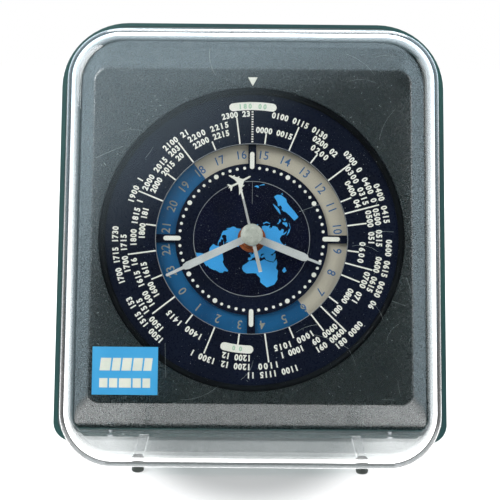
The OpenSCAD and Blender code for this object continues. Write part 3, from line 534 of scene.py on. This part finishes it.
def outerCase(grow=0.0):
    turns = [radians(a) for a in range(90, -1, -9)]
    return [backSlice(t, -grow) for t in turns] + [
        leaning(offset, body["caseWidth"], body["caseLow"], body["caseHigh"], body["caseTopR"],
                body["caseFootR"]) for offset in (2, -body["lipDepth"])]


def addColumn(case, x, up, radius, floor, length, steps=64):
    # a round cup or pillar from its floor to the back wall
    column = makePiece("column", *drum(x, up, radius, floor, length, steps), caseGreen, "clock",
                       "case_green")
    combine(column, loft(outerCase(-0.01)), "INTERSECT")
    merge(case, column, "UNION")


def buildCase():
    fit, wall = rear["fit"], body["caseWall"]
    # the hood's width shrinks from its rim to its front, and the lip covers this share
    share = body["lipDepth"] / (body["hoodDepth"] - body["hoodEdge"])
    taper = share * (body["hoodRimWidth"] - body["hoodFrontWidth"])
    seat = leaning(-body["lipDepth"], body["hoodRimWidth"] + 2 * fit - taper,
                   body["hoodLow"] - fit, body["hoodHigh"] + fit - share * body["hoodDrop"],
                   body["hoodRimR"] + fit, body["hoodFootR"] + fit + share * rear["footGrowth"])
    ledge = leaning(0, rear["ledgeWidth"], rear["ledgeLow"], rear["ledgeHigh"],
                    rear["ledgeTopR"], rear["ledgeFootR"])
    inner = [backSlice(radians(a), wall) for a in range(0, 91, 15)]
    case = makePiece("rearCase", *loft(outerCase() + [seat, hoodRim(-fit), ledge] + inner),
                     caseGreen, "clock", "case_green")
    arbor = atAngle(rear["arborAngle"], rear["arborDistance"])
    zone = atAngle(rear["zoneAngle"], rear["zoneDistance"])
    wells = [((0, 0), rear["wellR"], rear["wellFloor"]),
             (zone, rear["zoneWellR"], rear["zoneWellFloor"])]
    pads = [(x, up) for x in (-rear["padX"], rear["padX"])
            for up in (rear["padLow"], rear["padHigh"])]
    for middle, radius, floor in wells:
        addColumn(case, *middle, radius + rear["wellWall"], floor, 60)
    for pad in pads:
        addColumn(case, *pad, rear["padR"], rear["plateBack"], rear["behind"], 32)
    for middle, radius, floor in wells:
        combine(case, drum(*middle, radius, floor - wall, 60, 96), "DIFFERENCE")
    for pad in pads:
        combine(case, drum(*pad, rear["padHoleR"], rear["plateBack"] - rear["padHead"],
                           rear["behind"], 40), "DIFFERENCE")
    for middle, radius, floor in ((arbor, rear["arborR"], rear["wellFloor"]),
                                  (zone, rear["zoneShaftR"], rear["zoneWellFloor"])):
        combine(case, drum(*middle, radius, floor + 1, wall + 2, 32), "DIFFERENCE")
    left, right = rear["slotX"] - rear["slotHalf"], rear["slotX"] + rear["slotHalf"]
    low, high = rear["slotLow"], rear["slotHigh"]
    combine(case, loft([[onDial(x, up, level) for x, up in
                         ((left, low), (right, low), (right, high), (left, high))]
                        for level in (rear["slotFrom"], rear["slotTo"])]), "DIFFERENCE")
    y = body["backY"] - body["middle"]
    combine(case, block((-rear["bayWidth"] / 2, y - rear["bayDepth"], rear["bayLow"]),
                        (rear["bayWidth"] / 2, y + 1, rear["bayLow"] + rear["bayHeight"])),
            "DIFFERENCE")
    for side in (-1, 1):
        for x, y, radius, top in rear["sockets"]:
            combine(case, loft([[Vector((side * x + radius * cos(t),
                                         y + radius * sin(t), z)) * mm
                                 for t in circle(40)] for z in (-1, top)]), "DIFFERENCE")
    roundOver(case.data, 28)
    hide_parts("rear_case")


buildCase()


print("dial panel")

panel = {
    "width": 128.5, "low": 16.6, "high": 147.2, "topR": 6, "lowR": 5, "rise": 7.3, "edge": 0.5,
    "wall": 2.8, "fit": 0.3, "lip": 2.5, "opening": 61, "ledge": 59.9, "trimLevel": -1.4,
    "pointerUp": 63.484, "pointerHalf": 2.6, "pointerTop": 2.15, "pointerTip": -2.5,
    "pointerDepth": 0.5,
}


def panelSlice(offset, inset):
    return leaning(offset, panel["width"] - 2 * inset, panel["low"] + inset,
                   panel["high"] - inset, panel["topR"] - inset / 2, panel["lowR"] - inset / 2)


def buildPanel():
    wall, lip = body["hoodWall"], panel["lip"]
    width = body["hoodRimWidth"] - 2 * wall - 2 * panel["fit"]
    low, high = body["floor"] + panel["fit"], body["hoodHigh"] - wall - panel["fit"]
    topR, lowR = body["hoodRimR"] - wall, body["hoodFootR"] - wall
    base = leaning(0, width, low, high, topR, lowR)
    innerBase = leaning(0, width - 2 * lip, low + lip, high - lip, topR - 2, 2)
    inner = leaning(panel["wall"] / cos(lean) - panel["rise"], panel["width"] - 4,
                    panel["low"] + 2, panel["high"] - 2, panel["topR"] - 1, panel["lowR"] - 1)
    edge = [panelSlice(-panel["rise"] + panel["edge"] * (1 - sin(t)), 1 - cos(t))
            for t in (radians(a) for a in (0, 25, 50, 75, 90))]
    piece = makePiece("dialPanel", *loft([inner, innerBase, base] + edge), panelGreen, "clock",
                      "panel_green")
    for radius, depth in ((panel["opening"], 1.2 - panel["trimLevel"]),
                          (panel["ledge"], panel["wall"] + 4)):
        combine(piece, drum(0, 0, radius, 1, depth, 192), "DIFFERENCE")
    half, top, tip = panel["pointerHalf"], panel["pointerTop"], panel["pointerTip"]
    combine(piece, loft([[onDial(x, panel["pointerUp"] + up, level)
                          for x, up in ((-half, top), (half, top), (0, tip))]
                         for level in (1, -panel["pointerDepth"])]), "DIFFERENCE")
    roundOver(piece.data, 22)
    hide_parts("dial_panel")


buildPanel()


print("trim ring and cap")

# radius and level of each turned profile
turned = {
    "trim": [(58.5, -1.4), (60.85, -1.58)]
            + [(60.35 + 0.5 * cos(t), -0.6 + 0.5 * sin(t))
               for t in (radians(a) for a in range(0, 91, 15))]
            + [(59.9, -0.12), (59.4, -0.3), (58.95, -0.62), (58.62, -0.95), (58.5, -1.1)],
    "cap": [(0.01, 7.42), (4.35, 7.42), (4.35, 7.8), (4.22, 8.05), (3.95, 8.18), (3.55, 8.24),
            (3.4, 8.36), (2.4, 8.52), (1.2, 8.64), (0.01, 8.68)],
}


def buildTurned():
    # ring with a rounded crest, and a rough cap with a lighter turned edge
    trim = lathe("trimRing", turned["trim"], trimBlack, "clock", "trim_black", 240, smooth=40)
    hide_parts("trim_ring")
    cap = lathe("handCap", turned["cap"], capPaint, "second", "cap_grey", 128)
    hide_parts("hand_cap")


buildTurned()


print("printing")

typeface = {"capHeight": 0.72, "narrow": 0.92, "bold": 0.045, "smooth": 4}
glyphs = {}


def glyph(letter, bold):
    # the built-in typeface as flat shapes, one unit high and centred
    if (letter, bold) not in glyphs:
        curve = bpy.data.curves.new("glyph", "FONT")
        curve.body = letter
        curve.offset = bold
        curve.resolution_u = typeface["smooth"]
        carrier = addObject("glyph", curve)
        bpy.context.view_layer.update()
        seen = carrier.evaluated_get(bpy.context.evaluated_depsgraph_get())
        mesh = bpy.data.meshes.new_from_object(seen)
        points = [(v.co.x, v.co.y) for v in mesh.vertices]
        faces = [tuple(p.vertices) for p in mesh.polygons]
        bpy.data.objects.remove(carrier)
        bpy.data.meshes.remove(mesh)
        wide = [p[0] for p in points]
        middle = (min(wide) + max(wide)) / 2
        unit = typeface["capHeight"]
        glyphs[letter, bold] = [((x - middle) / unit, y / unit - 0.5) for x, y in points], faces
    return glyphs[letter, bold]


class Ink:
    # gathers flat shapes of one colour on one level of the dial
    def __init__(self):
        self.points, self.faces = [], []

    def add(self, points, faces=None):
        start = len(self.points)
        self.points += points
        for face in faces or [tuple(range(len(points)))]:
            self.faces.append(tuple(start + i for i in self.facing(points, face)))

    def facing(self, points, face):
        # every face looks out of the dial
        area = sum(points[face[i - 1]][0] * points[face[i]][1]
                   - points[face[i]][0] * points[face[i - 1]][1] for i in range(len(face)))
        return face if area > 0 else face[::-1]

    def addTurned(self, angle, points, faces=None):
        # points to the right and up, turned clockwise about the middle of the dial
        sine, cosine = sin(radians(angle)), cos(radians(angle))
        self.add([(sine * up + cosine * x, cosine * up - sine * x) for x, up in points], faces)

    def text(self, letters, radius, start, end, height):
        step = (end - start) / len(letters)
        for i, letter in enumerate(letters):
            if letter != " ":
                self.letter(letter, radius, start + (i + 0.5) * step, height)

    def letter(self, letter, radius, angle, height, sideways=0, bold=typeface["bold"]):
        points, faces = glyph(letter, bold)
        self.addTurned(angle, [(x * height * typeface["narrow"] + sideways, radius + y * height)
                               for x, y in points], faces)

    def bar(self, angle, inner, outer, width):
        self.addTurned(angle, [(-width / 2, inner), (width / 2, inner), (width / 2, outer),
                               (-width / 2, outer)])

    def band(self, inner, outer, steps):
        turns = [360 * i / steps for i in range(steps + 1)]
        points = [atAngle(a, r) for a in turns for r in (inner, outer)]
        self.add(points, [(2 * i, 2 * i + 1, 2 * i + 3, 2 * i + 2) for i in range(steps)])

    def tab(self, radius, half, start, end):
        # a curved bar with round ends
        points = [atAngle(start + (end - start) * i / 24, radius + half) for i in range(25)]
        for centre, first in ((end, 0), (start, 180)):
            turn = radians(centre)
            middle = atAngle(centre, radius)
            for i in range(1, 12):
                a = radians(first + 180 * i / 12)
                out, along = half * cos(a), half * sin(a)
                points.append((middle[0] + sin(turn) * out + cos(turn) * along,
                               middle[1] + cos(turn) * out - sin(turn) * along))
            if centre == end:
                points += [atAngle(end + (start - end) * i / 24, radius - half)
                           for i in range(25)]
        self.add(points)

    def make(self, name, level, material, rides):
        mesh = bpy.data.meshes.new(name)
        mesh.from_pydata([tuple(onDial(x, up, level)) for x, up in self.points], [], self.faces)
        dress(name, mesh, material, rides)


zonePrint = {
    "level": -1.68, "lineWidth": 0.58, "lineStart": 38.5, "letterHeight": 2.3, "pitch": 1.72,
    "dashes": 13, "dashStart": 38.9, "dashPitch": 1.02, "dashLength": 0.52, "dashWidth": 0.78,
    # inner and outer radius of a grey band painted on the zone disc's cut edge: a painted highlight
    "edge": (38.22, 38.42),
    # radius, half width, first and last angle of each tab, then figures on them
    "tabs": ((53.8, 1.65, -8.3, 8.6), (44.4, 1.6, 180.8, 193.6)),
    "tabNumbers": (("180 00", 53.8, -6.4, 6.4, 1.9), ("00", 44.4, 183.5, 190.5, 1.7)),
    # clockwise angle and outer radius of each line
    "lines": [(7.5, 42.6), (22.5, 49), (37.5, 43), (52.4, 49.5), (67.3, 43.1), (74.8, 52.7),
              (82.2, 46.3), (97.1, 43.1), (104.6, 49.7), (112, 46.4), (127, 43.1), (134.5, 52.8),
              (142, 46.7), (157, 43.2), (171.8, 49.9), (186.9, 42.8), (201.9, 49.6), (217, 43),
              (232, 49.6), (247, 43.1), (262, 49.7), (277.1, 42.6), (292.4, 49.1), (307.2, 42.5),
              (322.3, 48.8), (337.5, 42.3), (352.6, 49.4)],
    # radius, first and last clockwise angle, and hour of each row of numbers
    "rows": [(50.7, 345.8, 359.0, 23), (47.2, 326.7, 348.4, 22), (43.8, 327.3, 347.8, 22),
             (50.4, 315.1, 329.2, 21), (47.2, 293.9, 321.4, 20), (43.9, 294.5, 320.5, 20),
             (50.6, 286, 298.6, 19), (47.2, 265.5, 289.1, 18), (43.9, 269, 286, 18),
             (54.5, 249.8, 274.7, 17), (51.1, 253.7, 271.4, 17), (47.7, 234.5, 260, 16),
             (44.2, 237.2, 257, 16), (54.4, 220, 243.8, 15), (51.1, 223.2, 241.2, 15),
             (44.4, 205.7, 228.4, 14), (51.3, 195.8, 207.7, 13), (47.9, 179.8, 193.8, 12),
             (51.4, 179.9, 193.3, 12), (54.6, 159.8, 181.8, 11), (51.3, 167.2, 177, 11),
             (48.2, 154.3, 166, 10), (44.9, 146.3, 168.5, 10), (48.3, 135.6, 149.8, 9),
             (51.6, 135.1, 150.1, 9), (54.9, 127.3, 142.3, 8), (44.6, 116.8, 133.4, 8),
             (48.1, 106, 122.5, 7), (44.3, 91.2, 103, 6), (51.3, 98, 114.5, 6),
             (54.8, 90.2, 120.6, 6), (50.8, 8.8, 36.2, 1), (44.1, 1.8, 21.4, 0),
             (47.8, 30.8, 45.2, 2), (44.3, 32.2, 43.4, 2), (51.3, 46.6, 57.9, 3),
             (51.2, 61, 73.2, 4), (54.4, 65.7, 83.4, 4), (47.8, 52.6, 73.4, 3),
             (44.5, 58.5, 73.4, 4), (47.8, 76, 92.8, 5), (50.9, 75.9, 93.6, 5)],
}


def numberRow(hour, count):
    # plain times in quarter hours, as many figures as the row has room for
    letters = ""
    quarter = 0
    while len(letters) < count:
        letters += f"{hour:02d}{quarter:02d} "
        quarter = (quarter + 15) % 60
        hour = hour if quarter else (hour + 1) % 24
    return letters[:count].strip()


def printZones():
    z = zonePrint
    cream = Ink()
    for angle, outer in z["lines"]:
        cream.bar(angle, z["lineStart"], outer, z["lineWidth"])
    for i in range(z["dashes"]):
        start = z["dashStart"] + i * z["dashPitch"]
        cream.bar(0, start, start + z["dashLength"], z["dashWidth"])
    for radius, start, end, hour in z["rows"]:
        space = round(radians(end - start) * radius / z["pitch"])
        cream.text(numberRow(hour, space), radius, start, end, z["letterHeight"])
    cream.make("zoneLinesAndNumbers", z["level"], creamInk, "zone_disc")
    tabs = Ink()
    for tab in z["tabs"]:
        tabs.tab(*tab)
    tabs.make("zoneTabs", z["level"] - 0.005, creamInk, "zone_disc")
    pale = Ink()
    for figures in z["tabNumbers"]:
        pale.text(*figures)
    pale.make("zoneTabNumbers", z["level"] + 0.01, greenInk, "zone_disc")
    # a painted highlight: a thin grey band along the zone disc's cut edge, where the edge would
    # catch the light
    edge = Ink()
    edge.band(*z["edge"], 240)
    edge.make("zoneDiscEdgePaintedHighlight", z["level"] + 0.005, lineInkAndEdgeHighlight, "zone_disc")


printZones()

ringPrint = {"level": -5.37, "radius": 34.75, "topHour": 15.5, "height": 3.5, "bold": 0.008,
             "pitch": 2.35}
# translucent ink: grey-green over the night half and blue over the day half
ringInk = surface(
    "ringInkOliveAndBlue", "#9a9c8c", "#878c80", drift=9, grain=0.3, depth=0.003, keeps=onNight,
    other=ring["dayInk"])


def printRing():
    r = ringPrint
    ink = Ink()
    for hour in range(24):
        digits = str(hour)
        for i, digit in enumerate(digits):
            ink.letter(digit, r["radius"], (r["topHour"] - hour) * 15, r["height"],
                       sideways=(i - (len(digits) - 1) / 2) * r["pitch"], bold=r["bold"])
    ink.make("ringHours", r["level"], ringInk, "day_ring")


printRing()

# rough outlines of the lands, as any polar map has them: longitude and latitude in turn, degrees
lands = {
    "northAmerica": [-168, 66, -162, 70, -156, 71, -141, 70, -128, 70, -115, 68, -108, 68, -95, 68,
        -94, 72, -85, 70, -82, 68, -86, 66, -94, 61, -94, 58, -88, 57, -82, 55, -80, 51, -79, 54,
        -77, 56, -78, 62, -72, 61, -65, 59, -61, 56, -56, 52, -60, 50, -65, 50, -69, 48, -64, 48,
        -61, 46, -66, 44, -70, 43, -74, 40, -76, 37, -76, 35, -81, 31, -80, 26, -82, 28, -84, 30,
        -90, 29, -94, 29, -97, 27, -97, 22, -95, 18, -91, 18, -90, 21, -87, 21, -88, 16, -83, 15,
        -83, 11, -80, 9, -77, 8, -80, 7, -85, 10, -88, 13, -94, 16, -101, 17, -105, 20, -106, 23,
        -109, 26, -113, 31, -110, 25, -112, 25, -115, 30, -117, 33, -121, 35, -124, 40, -124, 46,
        -127, 50, -131, 54, -136, 58, -145, 60, -152, 59, -158, 56, -163, 55, -157, 59, -162, 60,
        -165, 62, -161, 65],
    "greenland": [-73, 78, -60, 82, -35, 83.5, -20, 82, -18, 76, -22, 71, -32, 68, -40, 65, -43, 60,
        -49, 62, -54, 67, -52, 70, -58, 75, -68, 76],
    "baffin": [-90, 73, -80, 73.5, -72, 71, -62, 66, -66, 62, -73, 65, -78, 69, -88, 70],
    "victoria": [-118, 73, -105, 73, -102, 69.5, -115, 69.5],
    "ellesmere": [-90, 77, -85, 82, -65, 83, -72, 79, -80, 76],
    "southAmerica": [-77, 8, -72, 12, -62, 11, -52, 5, -50, 0, -44, -3, -35, -6, -35, -9, -39, -13,
        -39, -18, -42, -23, -48, -26, -49, -29, -54, -34, -58, -35, -57, -38, -62, -39, -65, -42,
        -66, -46, -66, -49, -75, -49, -74, -44, -73, -37, -71, -30, -70, -20, -76, -14, -80, -6,
        -81, -3, -78, 2, -77, 5],
    "eurasia": [-9, 38, -9, 43, -2, 44, -1, 46, -4, 48, 2, 51, 5, 53, 8, 54, 8, 57, 10, 57, 10, 54,
        14, 54, 19, 55, 21, 57, 24, 58, 29, 60, 22, 60, 21, 63, 25, 65, 22, 66, 17, 62, 18, 60, 14,
        56, 12, 58, 10, 59, 6, 58, 5, 61, 10, 64, 14, 68, 21, 70, 28, 71, 34, 69, 41, 67, 33, 67,
        36, 64, 40, 65, 44, 66, 44, 68, 54, 69, 61, 69, 68, 68, 67, 71, 70, 73, 74, 71, 72, 67, 76,
        72, 86, 74, 104, 78, 113, 74, 127, 73, 140, 73, 152, 71, 161, 70, 171, 70, 180, 69, 190, 66,
        186, 64.5, 179, 62.5, 170, 60, 164, 60, 162, 55, 157, 51, 155, 57, 162, 61, 155, 59, 143,
        59, 135, 55, 141, 52, 137, 46, 132, 43, 128, 40, 129, 36, 126, 35, 125, 39, 121, 39.5, 118,
        39, 122, 37, 119, 35, 122, 31, 119, 26, 114, 22, 108, 21, 106, 18, 109, 13, 106, 9, 102, 12,
        100, 13, 102, 6, 104, 1.5, 100, 6, 98, 10, 97, 17, 91, 22, 87, 21, 82, 16, 80, 12, 78, 8,
        74, 15, 72, 21, 67, 25, 57, 26, 50, 30, 51, 25, 56, 25, 59, 22, 52, 16, 44, 12.5, 39, 21,
        35, 28, 35, 32, 36, 36, 28, 36.5, 27, 40, 34, 42, 41, 41, 37, 45, 32, 46, 28, 43, 26, 40,
        23, 38, 22, 37, 19, 41, 13, 45, 16, 40, 12, 42, 9, 44, 3, 42, 0, 39, -5, 36],
    "africa": [-6, 35, 10, 37, 11, 33, 20, 31, 32, 31, 34, 27, 37, 21, 43, 11.5, 51, 12, 47, 4, 40,
        -3, 40, -11, 35, -20, 33, -27, 27, -34, 18, -34, 12, -18, 13, -8, 9, 1, 9, 4, 4, 6, -7, 4.5,
        -13, 8, -17, 14, -17, 21, -10, 30],
    "madagascar": [44, -17, 50, -15, 48, -25, 44, -24],
    "australia": [114, -22, 122, -18, 129, -15, 132, -11.5, 136, -12, 136, -15, 140, -17.5, 142,
        -11, 146, -19, 153, -26, 151, -34, 147, -38.5, 140, -38, 137, -33, 131, -31.5, 124, -33,
        116, -35, 115, -30],
    "tasmania": [145, -41, 148, -41, 147, -43.5],
    "northIsland": [173, -35, 178, -38, 175, -41.5, 173, -39],
    "southIsland": [173, -41, 171, -44, 168, -47, 167, -45],
    "newGuinea": [131, -1, 138, -2, 145, -5, 150, -10, 143, -9, 138, -8, 133, -4],
    "borneo": [109, 1, 113, 3.5, 117, 7, 119, 5, 117, 1, 116, -4, 111, -3],
    "sumatra": [95, 5.5, 100, 2, 106, -4, 105, -6, 101, -3],
    "java": [105, -6.5, 114, -7.5, 114, -8.5, 106, -7.5],
    "sulawesi": [119, 0, 125, 1.5, 121, -1, 123, -4, 120, -5],
    "philippines": [120, 18, 122, 18, 122, 14, 126, 8, 125, 6, 122, 7, 120, 14],
    "japan": [130, 31, 131, 34, 136, 36, 140, 41, 141, 45, 145, 43, 142, 39, 140, 35, 135, 33.5],
    "britain": [-5, 50, 1, 51, 0, 54, -2, 58, -6, 58, -3, 54],
    "ireland": [-10, 52, -6, 52, -6, 55, -9, 54],
    "iceland": [-24, 65, -14, 65, -18, 63.5],
    "cuba": [-85, 22, -77, 20, -75, 20, -80, 23],
    "ceylon": [80, 9.5, 82, 7, 80, 6],
    "spitsbergen": [12, 79, 25, 80, 18, 77],
    "novaya": [52, 71, 60, 75, 68, 77, 57, 72],
}
polarMap = {"radius": 23.2, "reach": 140, "zero": 180.5, "level": -3.47, "lineLevel": -3.465,
            "circle": (23.12, 23.34), "line": (0.5, 14, 23, 0.12)}


def printMap():
    m = polarMap
    ink = Ink()
    for shape in lands.values():
        ink.add([atAngle(m["zero"] - lon, m["radius"] * (90 - lat) / m["reach"])
                 for lon, lat in zip(shape[::2], shape[1::2])])
    ink.make("mapLands", m["level"], mapBlue, "clock")
    lines = Ink()
    lines.band(*m["circle"], 200)
    lines.bar(*m["line"])
    lines.make("mapCircle", m["lineLevel"], lineInkAndEdgeHighlight, "clock")


printMap()


print("sticker, dust and hairlines")

label = {
    "x": -46, "z": 38.4, "above": 0.17, "gap": 0.3,
    # height and size of each row of blocks, its slant and the blocks' edges
    "rows": ((2.4, 4.6, 0.5, (-9.6, -5.2, -1.6, 2.4, 6.4, 9.9)),
             (-4.4, 3.4, 0, (-9.6, -6, -2.4, 2.6, 6.2, 9.6))),
}


def printSticker():
    # two rows of plain blocks stand where the sticker had words
    points, faces = [], []
    for middle, tall, slant, edges in label["rows"]:
        low, high = middle - tall / 2, middle + tall / 2
        for a, b in zip(edges, edges[1:]):
            left, right = a + label["gap"], b - label["gap"]
            faces.append(tuple(range(len(points), len(points) + 4)))
            for x, up in ((left, low), (right, low), (right + slant, high), (left + slant, high)):
                z = label["z"] + up * cos(lean)
                y = z * slope - body["hoodDepth"] - label["above"] - body["middle"]
                points.append(Vector((label["x"] + x, y, z)) * mm)
    makePiece("stickerBlocks", points, faces, labelWhite, "clock", "cream_print")


specks = {
    "seed": 41, "width": 61, "low": -63, "high": 66, "corners": 7,
    # level, count, radius, nearest and farthest from the middle, body and slot
    "panelDust": (0.03, 130, 0.16, 62, inf, "clock", "panel_green"),
    "discDust": (-1.66, 90, 0.13, 39, 57.5, "zone_disc", "dial_navy"),
    "mapDust": (-3.44, 26, 0.12, 6, 29, "clock", "dial_navy"),
}


def scatterDust():
    # settled specks, and one in five drawn out to a short fibre
    draw = random.Random(specks["seed"])
    for name in ("panelDust", "discDust", "mapDust"):
        level, count, size, nearest, farthest, rides, slot = specks[name]
        ink = Ink()
        placed = 0
        while placed < count:
            x = draw.uniform(-specks["width"], specks["width"])
            up = draw.uniform(specks["low"], specks["high"])
            if not nearest < hypot(x, up) < farthest:
                continue
            placed += 1
            r = size * draw.uniform(0.5, 1.25)
            long = 1 if draw.random() < 0.8 else draw.uniform(2, 4)
            turn = draw.uniform(0, pi)
            spot = []
            for a in circle(specks["corners"]):
                u, v = r * long * cos(a), r * sin(a) / sqrt(long)
                spot.append((x + u * cos(turn) - v * sin(turn),
                             up + u * sin(turn) + v * cos(turn)))
            ink.add(spot)
        ink.make(name, level, dust, rides)


hairline = {"seed": 43, "level": 34.5, "lines": 26, "joints": 9, "rightFrom": 30, "leftTo": 20,
            "width": 62, "low": -70, "high": 66, "bend": 0.12, "step": (0.5, 1.9),
            "halfWidth": (0.025, 0.045), "specks": 60, "speckHigh": 70, "speckLow": -68,
            "speckR": (0.05, 0.13)}


def scratchHood():
    # hairlines and a little dust just inside the hood's front, mostly towards its right edge
    h = hairline
    draw = random.Random(h["seed"])
    ink = Ink()
    for i in range(h["lines"]):
        sides = (h["rightFrom"], h["width"]) if i % 3 > 0 else (-h["width"], h["leftTo"])
        x, up = draw.uniform(*sides), draw.uniform(h["low"], h["high"])
        heading = draw.uniform(0, pi)
        bend, step = draw.uniform(-h["bend"], h["bend"]), draw.uniform(*h["step"])
        half = draw.uniform(*h["halfWidth"])
        left, right = [], []
        for _ in range(h["joints"]):
            across, along = -sin(heading) * half, cos(heading) * half
            left.append((x + across, up + along))
            right.append((x - across, up - along))
            x, up = x + step * cos(heading), up + step * sin(heading)
            heading += bend
        count = len(left)
        ink.add(left + right, [(k, k + 1, count + k + 1, count + k) for k in range(count - 1)])
    for _ in range(h["specks"]):
        x, up = draw.uniform(-h["width"], h["width"]), draw.uniform(h["speckLow"], h["speckHigh"])
        r = draw.uniform(*h["speckR"])
        ink.add([(x + r * cos(a), up + r * sin(a)) for a in circle(6)])
    ink.make("hoodHairlines", h["level"], dust, "clock")


printSticker()
scatterDust()
scratchHood()


print("stage, light and camera")

room = {
    # the floor's grey, its glow near and far, and the ellipse round the clock where the glow is
    # left out: a painted shadow
    "floor": "#cfcfce", "glowNear": 0.0, "glowFar": 0.9, "nearEnd": 0.045, "farStart": 0.078,
    "shadowMiddle": (0, 0.02, 0), "shadowSpread": (1.3, 0.6, 1),
    "tableHalf": 6, "tableFront": -0.165, "tableBack": 9, "light": "#eef2f6", "strength": 0.5,
    # the mirrored room: bright all round but for a dark side behind the camera, with a
    # window high on its left, and a table that is dull farther off
    "mirror": "#daf2ff", "bright": 2.2, "dullFrom": 0.1, "dullTo": 0.22, "dull": 0.0,
    "dark": (0, -0.995, 0.1), "darkFrom": 0.3, "darkTo": 0.75, "darkLevel": 0.02,
    "window": (-0.573, 0, 0.819), "windowFrom": 0.37, "windowTo": 0.485, "windowLevel": 1.15,
}


def lightPath(tree):
    # rays seen straight or through clear parts, and rays mirrored by a gloss on their way
    rays = addNode(tree, "LightPath")
    through = addNode(tree, "Math", {
        0: rays.outputs["Is Glossy Ray"], 1: rays.outputs["Is Transmission Ray"]},
        operation="MAXIMUM")
    glossed = addNode(tree, "Math", {
        0: rays.outputs["Glossy Depth"], 1: 0.5}, operation="GREATER_THAN")
    mirrored = addNode(tree, "Math", {0: through, 1: glossed}, operation="MINIMUM")
    seen = addNode(tree, "Math", {
        0: rays.outputs["Is Camera Ray"], 1: through}, operation="MAXIMUM")
    return seen, mirrored


def buildFloor():
    half, front, back = room["tableHalf"], room["tableFront"], room["tableBack"]
    mesh = bpy.data.meshes.new("floor")
    mesh.from_pydata([(-half, front, 0), (half, front, 0), (half, back, 0), (-half, back, 0)],
                     [], [(0, 1, 2, 3)])
    material, tree = newMaterial("whitePaperFloor")
    # white paper: takes the clock's shadow, and farther off a glow lifts it to plain white; the
    # glow is left out in an ellipse round the clock's foot, so the floor there is darker: a painted
    # shadow added to the real cast one
    seen, mirrored = lightPath(tree)
    lit = addNode(tree, "BsdfDiffuse", {"Color": colour(room["floor"])})
    place = addNode(tree, "TexCoord").outputs["Object"]
    offset = addNode(tree, "VectorMath", {0: place, 1: room["shadowMiddle"]}, operation="SUBTRACT")
    spread = addNode(tree, "VectorMath", {0: offset, 1: room["shadowSpread"]}, operation="MULTIPLY")
    away = addNode(tree, "VectorMath", {0: spread}, operation="LENGTH").outputs["Value"]
    # no glow inside the ellipse round the clock's foot: painted shade on the floor
    near = addNode(tree, "MapRange", {
        "Value": away, "From Min": room["nearEnd"], "From Max": room["farStart"],
        "To Min": room["glowNear"], "To Max": room["glowFar"]}, interpolation_type="SMOOTHSTEP")
    table = addNode(tree, "MapRange", {
        "Value": away, "From Min": room["dullFrom"], "From Max": room["dullTo"],
        "To Min": room["bright"], "To Max": room["dull"]}, interpolation_type="SMOOTHSTEP")
    most = addNode(tree, "Math", {0: mirrored, 1: table, 2: near}, operation="MULTIPLY_ADD")
    glow = addNode(tree, "Emission", {"Color": (1, 1, 1, 1), "Strength": most})
    both = addNode(tree, "AddShader", {0: lit, 1: glow})
    mixed = addNode(tree, "MixShader", {0: seen, 1: lit, 2: both})
    addNode(tree, "OutputMaterial", {"Surface": mixed})
    mesh.materials.append(material)
    addObject("floor", mesh)


def buildWorld():
    world = bpy.data.worlds.new("studio")
    world.use_nodes = True
    tree = world.node_tree
    tree.nodes.clear()
    seen, mirrored = lightPath(tree)
    towards = addNode(tree, "TexCoord").outputs["Generated"]
    sides = []
    for name, low, high in (("dark", room["bright"], room["darkLevel"]),
                            ("window", 0, room["windowLevel"])):
        along = addNode(tree, "VectorMath", {0: towards, 1: room[name]}, operation="DOT_PRODUCT")
        sides.append(addNode(tree, "MapRange", {
            "Value": along.outputs["Value"], "From Min": room[name + "From"],
            "From Max": room[name + "To"], "To Min": low, "To Max": high},
            interpolation_type="SMOOTHSTEP"))
    level = addNode(tree, "Math", {0: sides[0], 1: sides[1]}, operation="MAXIMUM")
    plain = addNode(tree, "Background", {
        "Color": colour(room["light"]), "Strength": room["strength"]})
    graded = addNode(tree, "Background", {"Color": colour(room["mirror"]), "Strength": level})
    white = addNode(tree, "Background", {"Color": (1, 1, 1, 1), "Strength": 1.0})
    behind = addNode(tree, "MixShader", {0: seen, 1: plain, 2: white})
    mixed = addNode(tree, "MixShader", {0: mirrored, 1: behind, 2: graded})
    addNode(tree, "OutputWorld", {"Surface": mixed})
    bpy.context.scene.world = world


lamps = {
    # place, aim, size and power of each soft box
    "keyBox": ((-0.85, -0.7, 1.1), (0, 0, 0.08), 0.9, 13),
    "fillBox": ((0.95, -0.8, 0.7), (0, 0, 0.08), 1.0, 5),
    "backBox": ((0.05, 0.95, 0.95), (0, 0.02, 0.05), 0.9, 8),
}


def buildLights():
    for name, (place, aim, size, power) in lamps.items():
        light = bpy.data.lights.new(name, "AREA")
        light.shape = "DISK"
        light.size = size
        light.energy = power
        lamp = addObject(name, light)
        lamp.location = place
        lamp.rotation_euler = (Vector(aim) - Vector(place)).to_track_quat("-Z", "Y").to_euler()


# place in millimetres, turns in degrees
view = {"place": (-1.5, -522.1, 156.1), "pitch": 8.635, "yaw": 0.096, "roll": 0.51,
        "sensor": 36, "lens": 96.71, "nearest": 0.05}


def buildCamera():
    pitch, yaw, roll = (radians(view[k]) for k in ("pitch", "yaw", "roll"))
    ahead = Vector((sin(yaw) * cos(pitch), cos(yaw) * cos(pitch),
                    -sin(pitch)))
    right = Vector((cos(yaw), -sin(yaw), 0))
    up = right.cross(ahead)
    side = right * cos(roll) + up * sin(roll)
    top = up * cos(roll) - right * sin(roll)
    data = bpy.data.cameras.new("camera")
    data.sensor_width = view["sensor"]
    data.lens = view["lens"]
    data.clip_start = view["nearest"]
    camera = addObject("camera", data)
    turn = Matrix((side, top, -ahead)).transposed().to_4x4()
    camera.matrix_world = Matrix.Translation(Vector(view["place"]) * mm) @ turn
    bpy.context.scene.camera = camera


buildFloor()
buildWorld()
buildLights()
buildCamera()
bpy.context.scene.view_settings.view_transform = "Standard"

print("done")
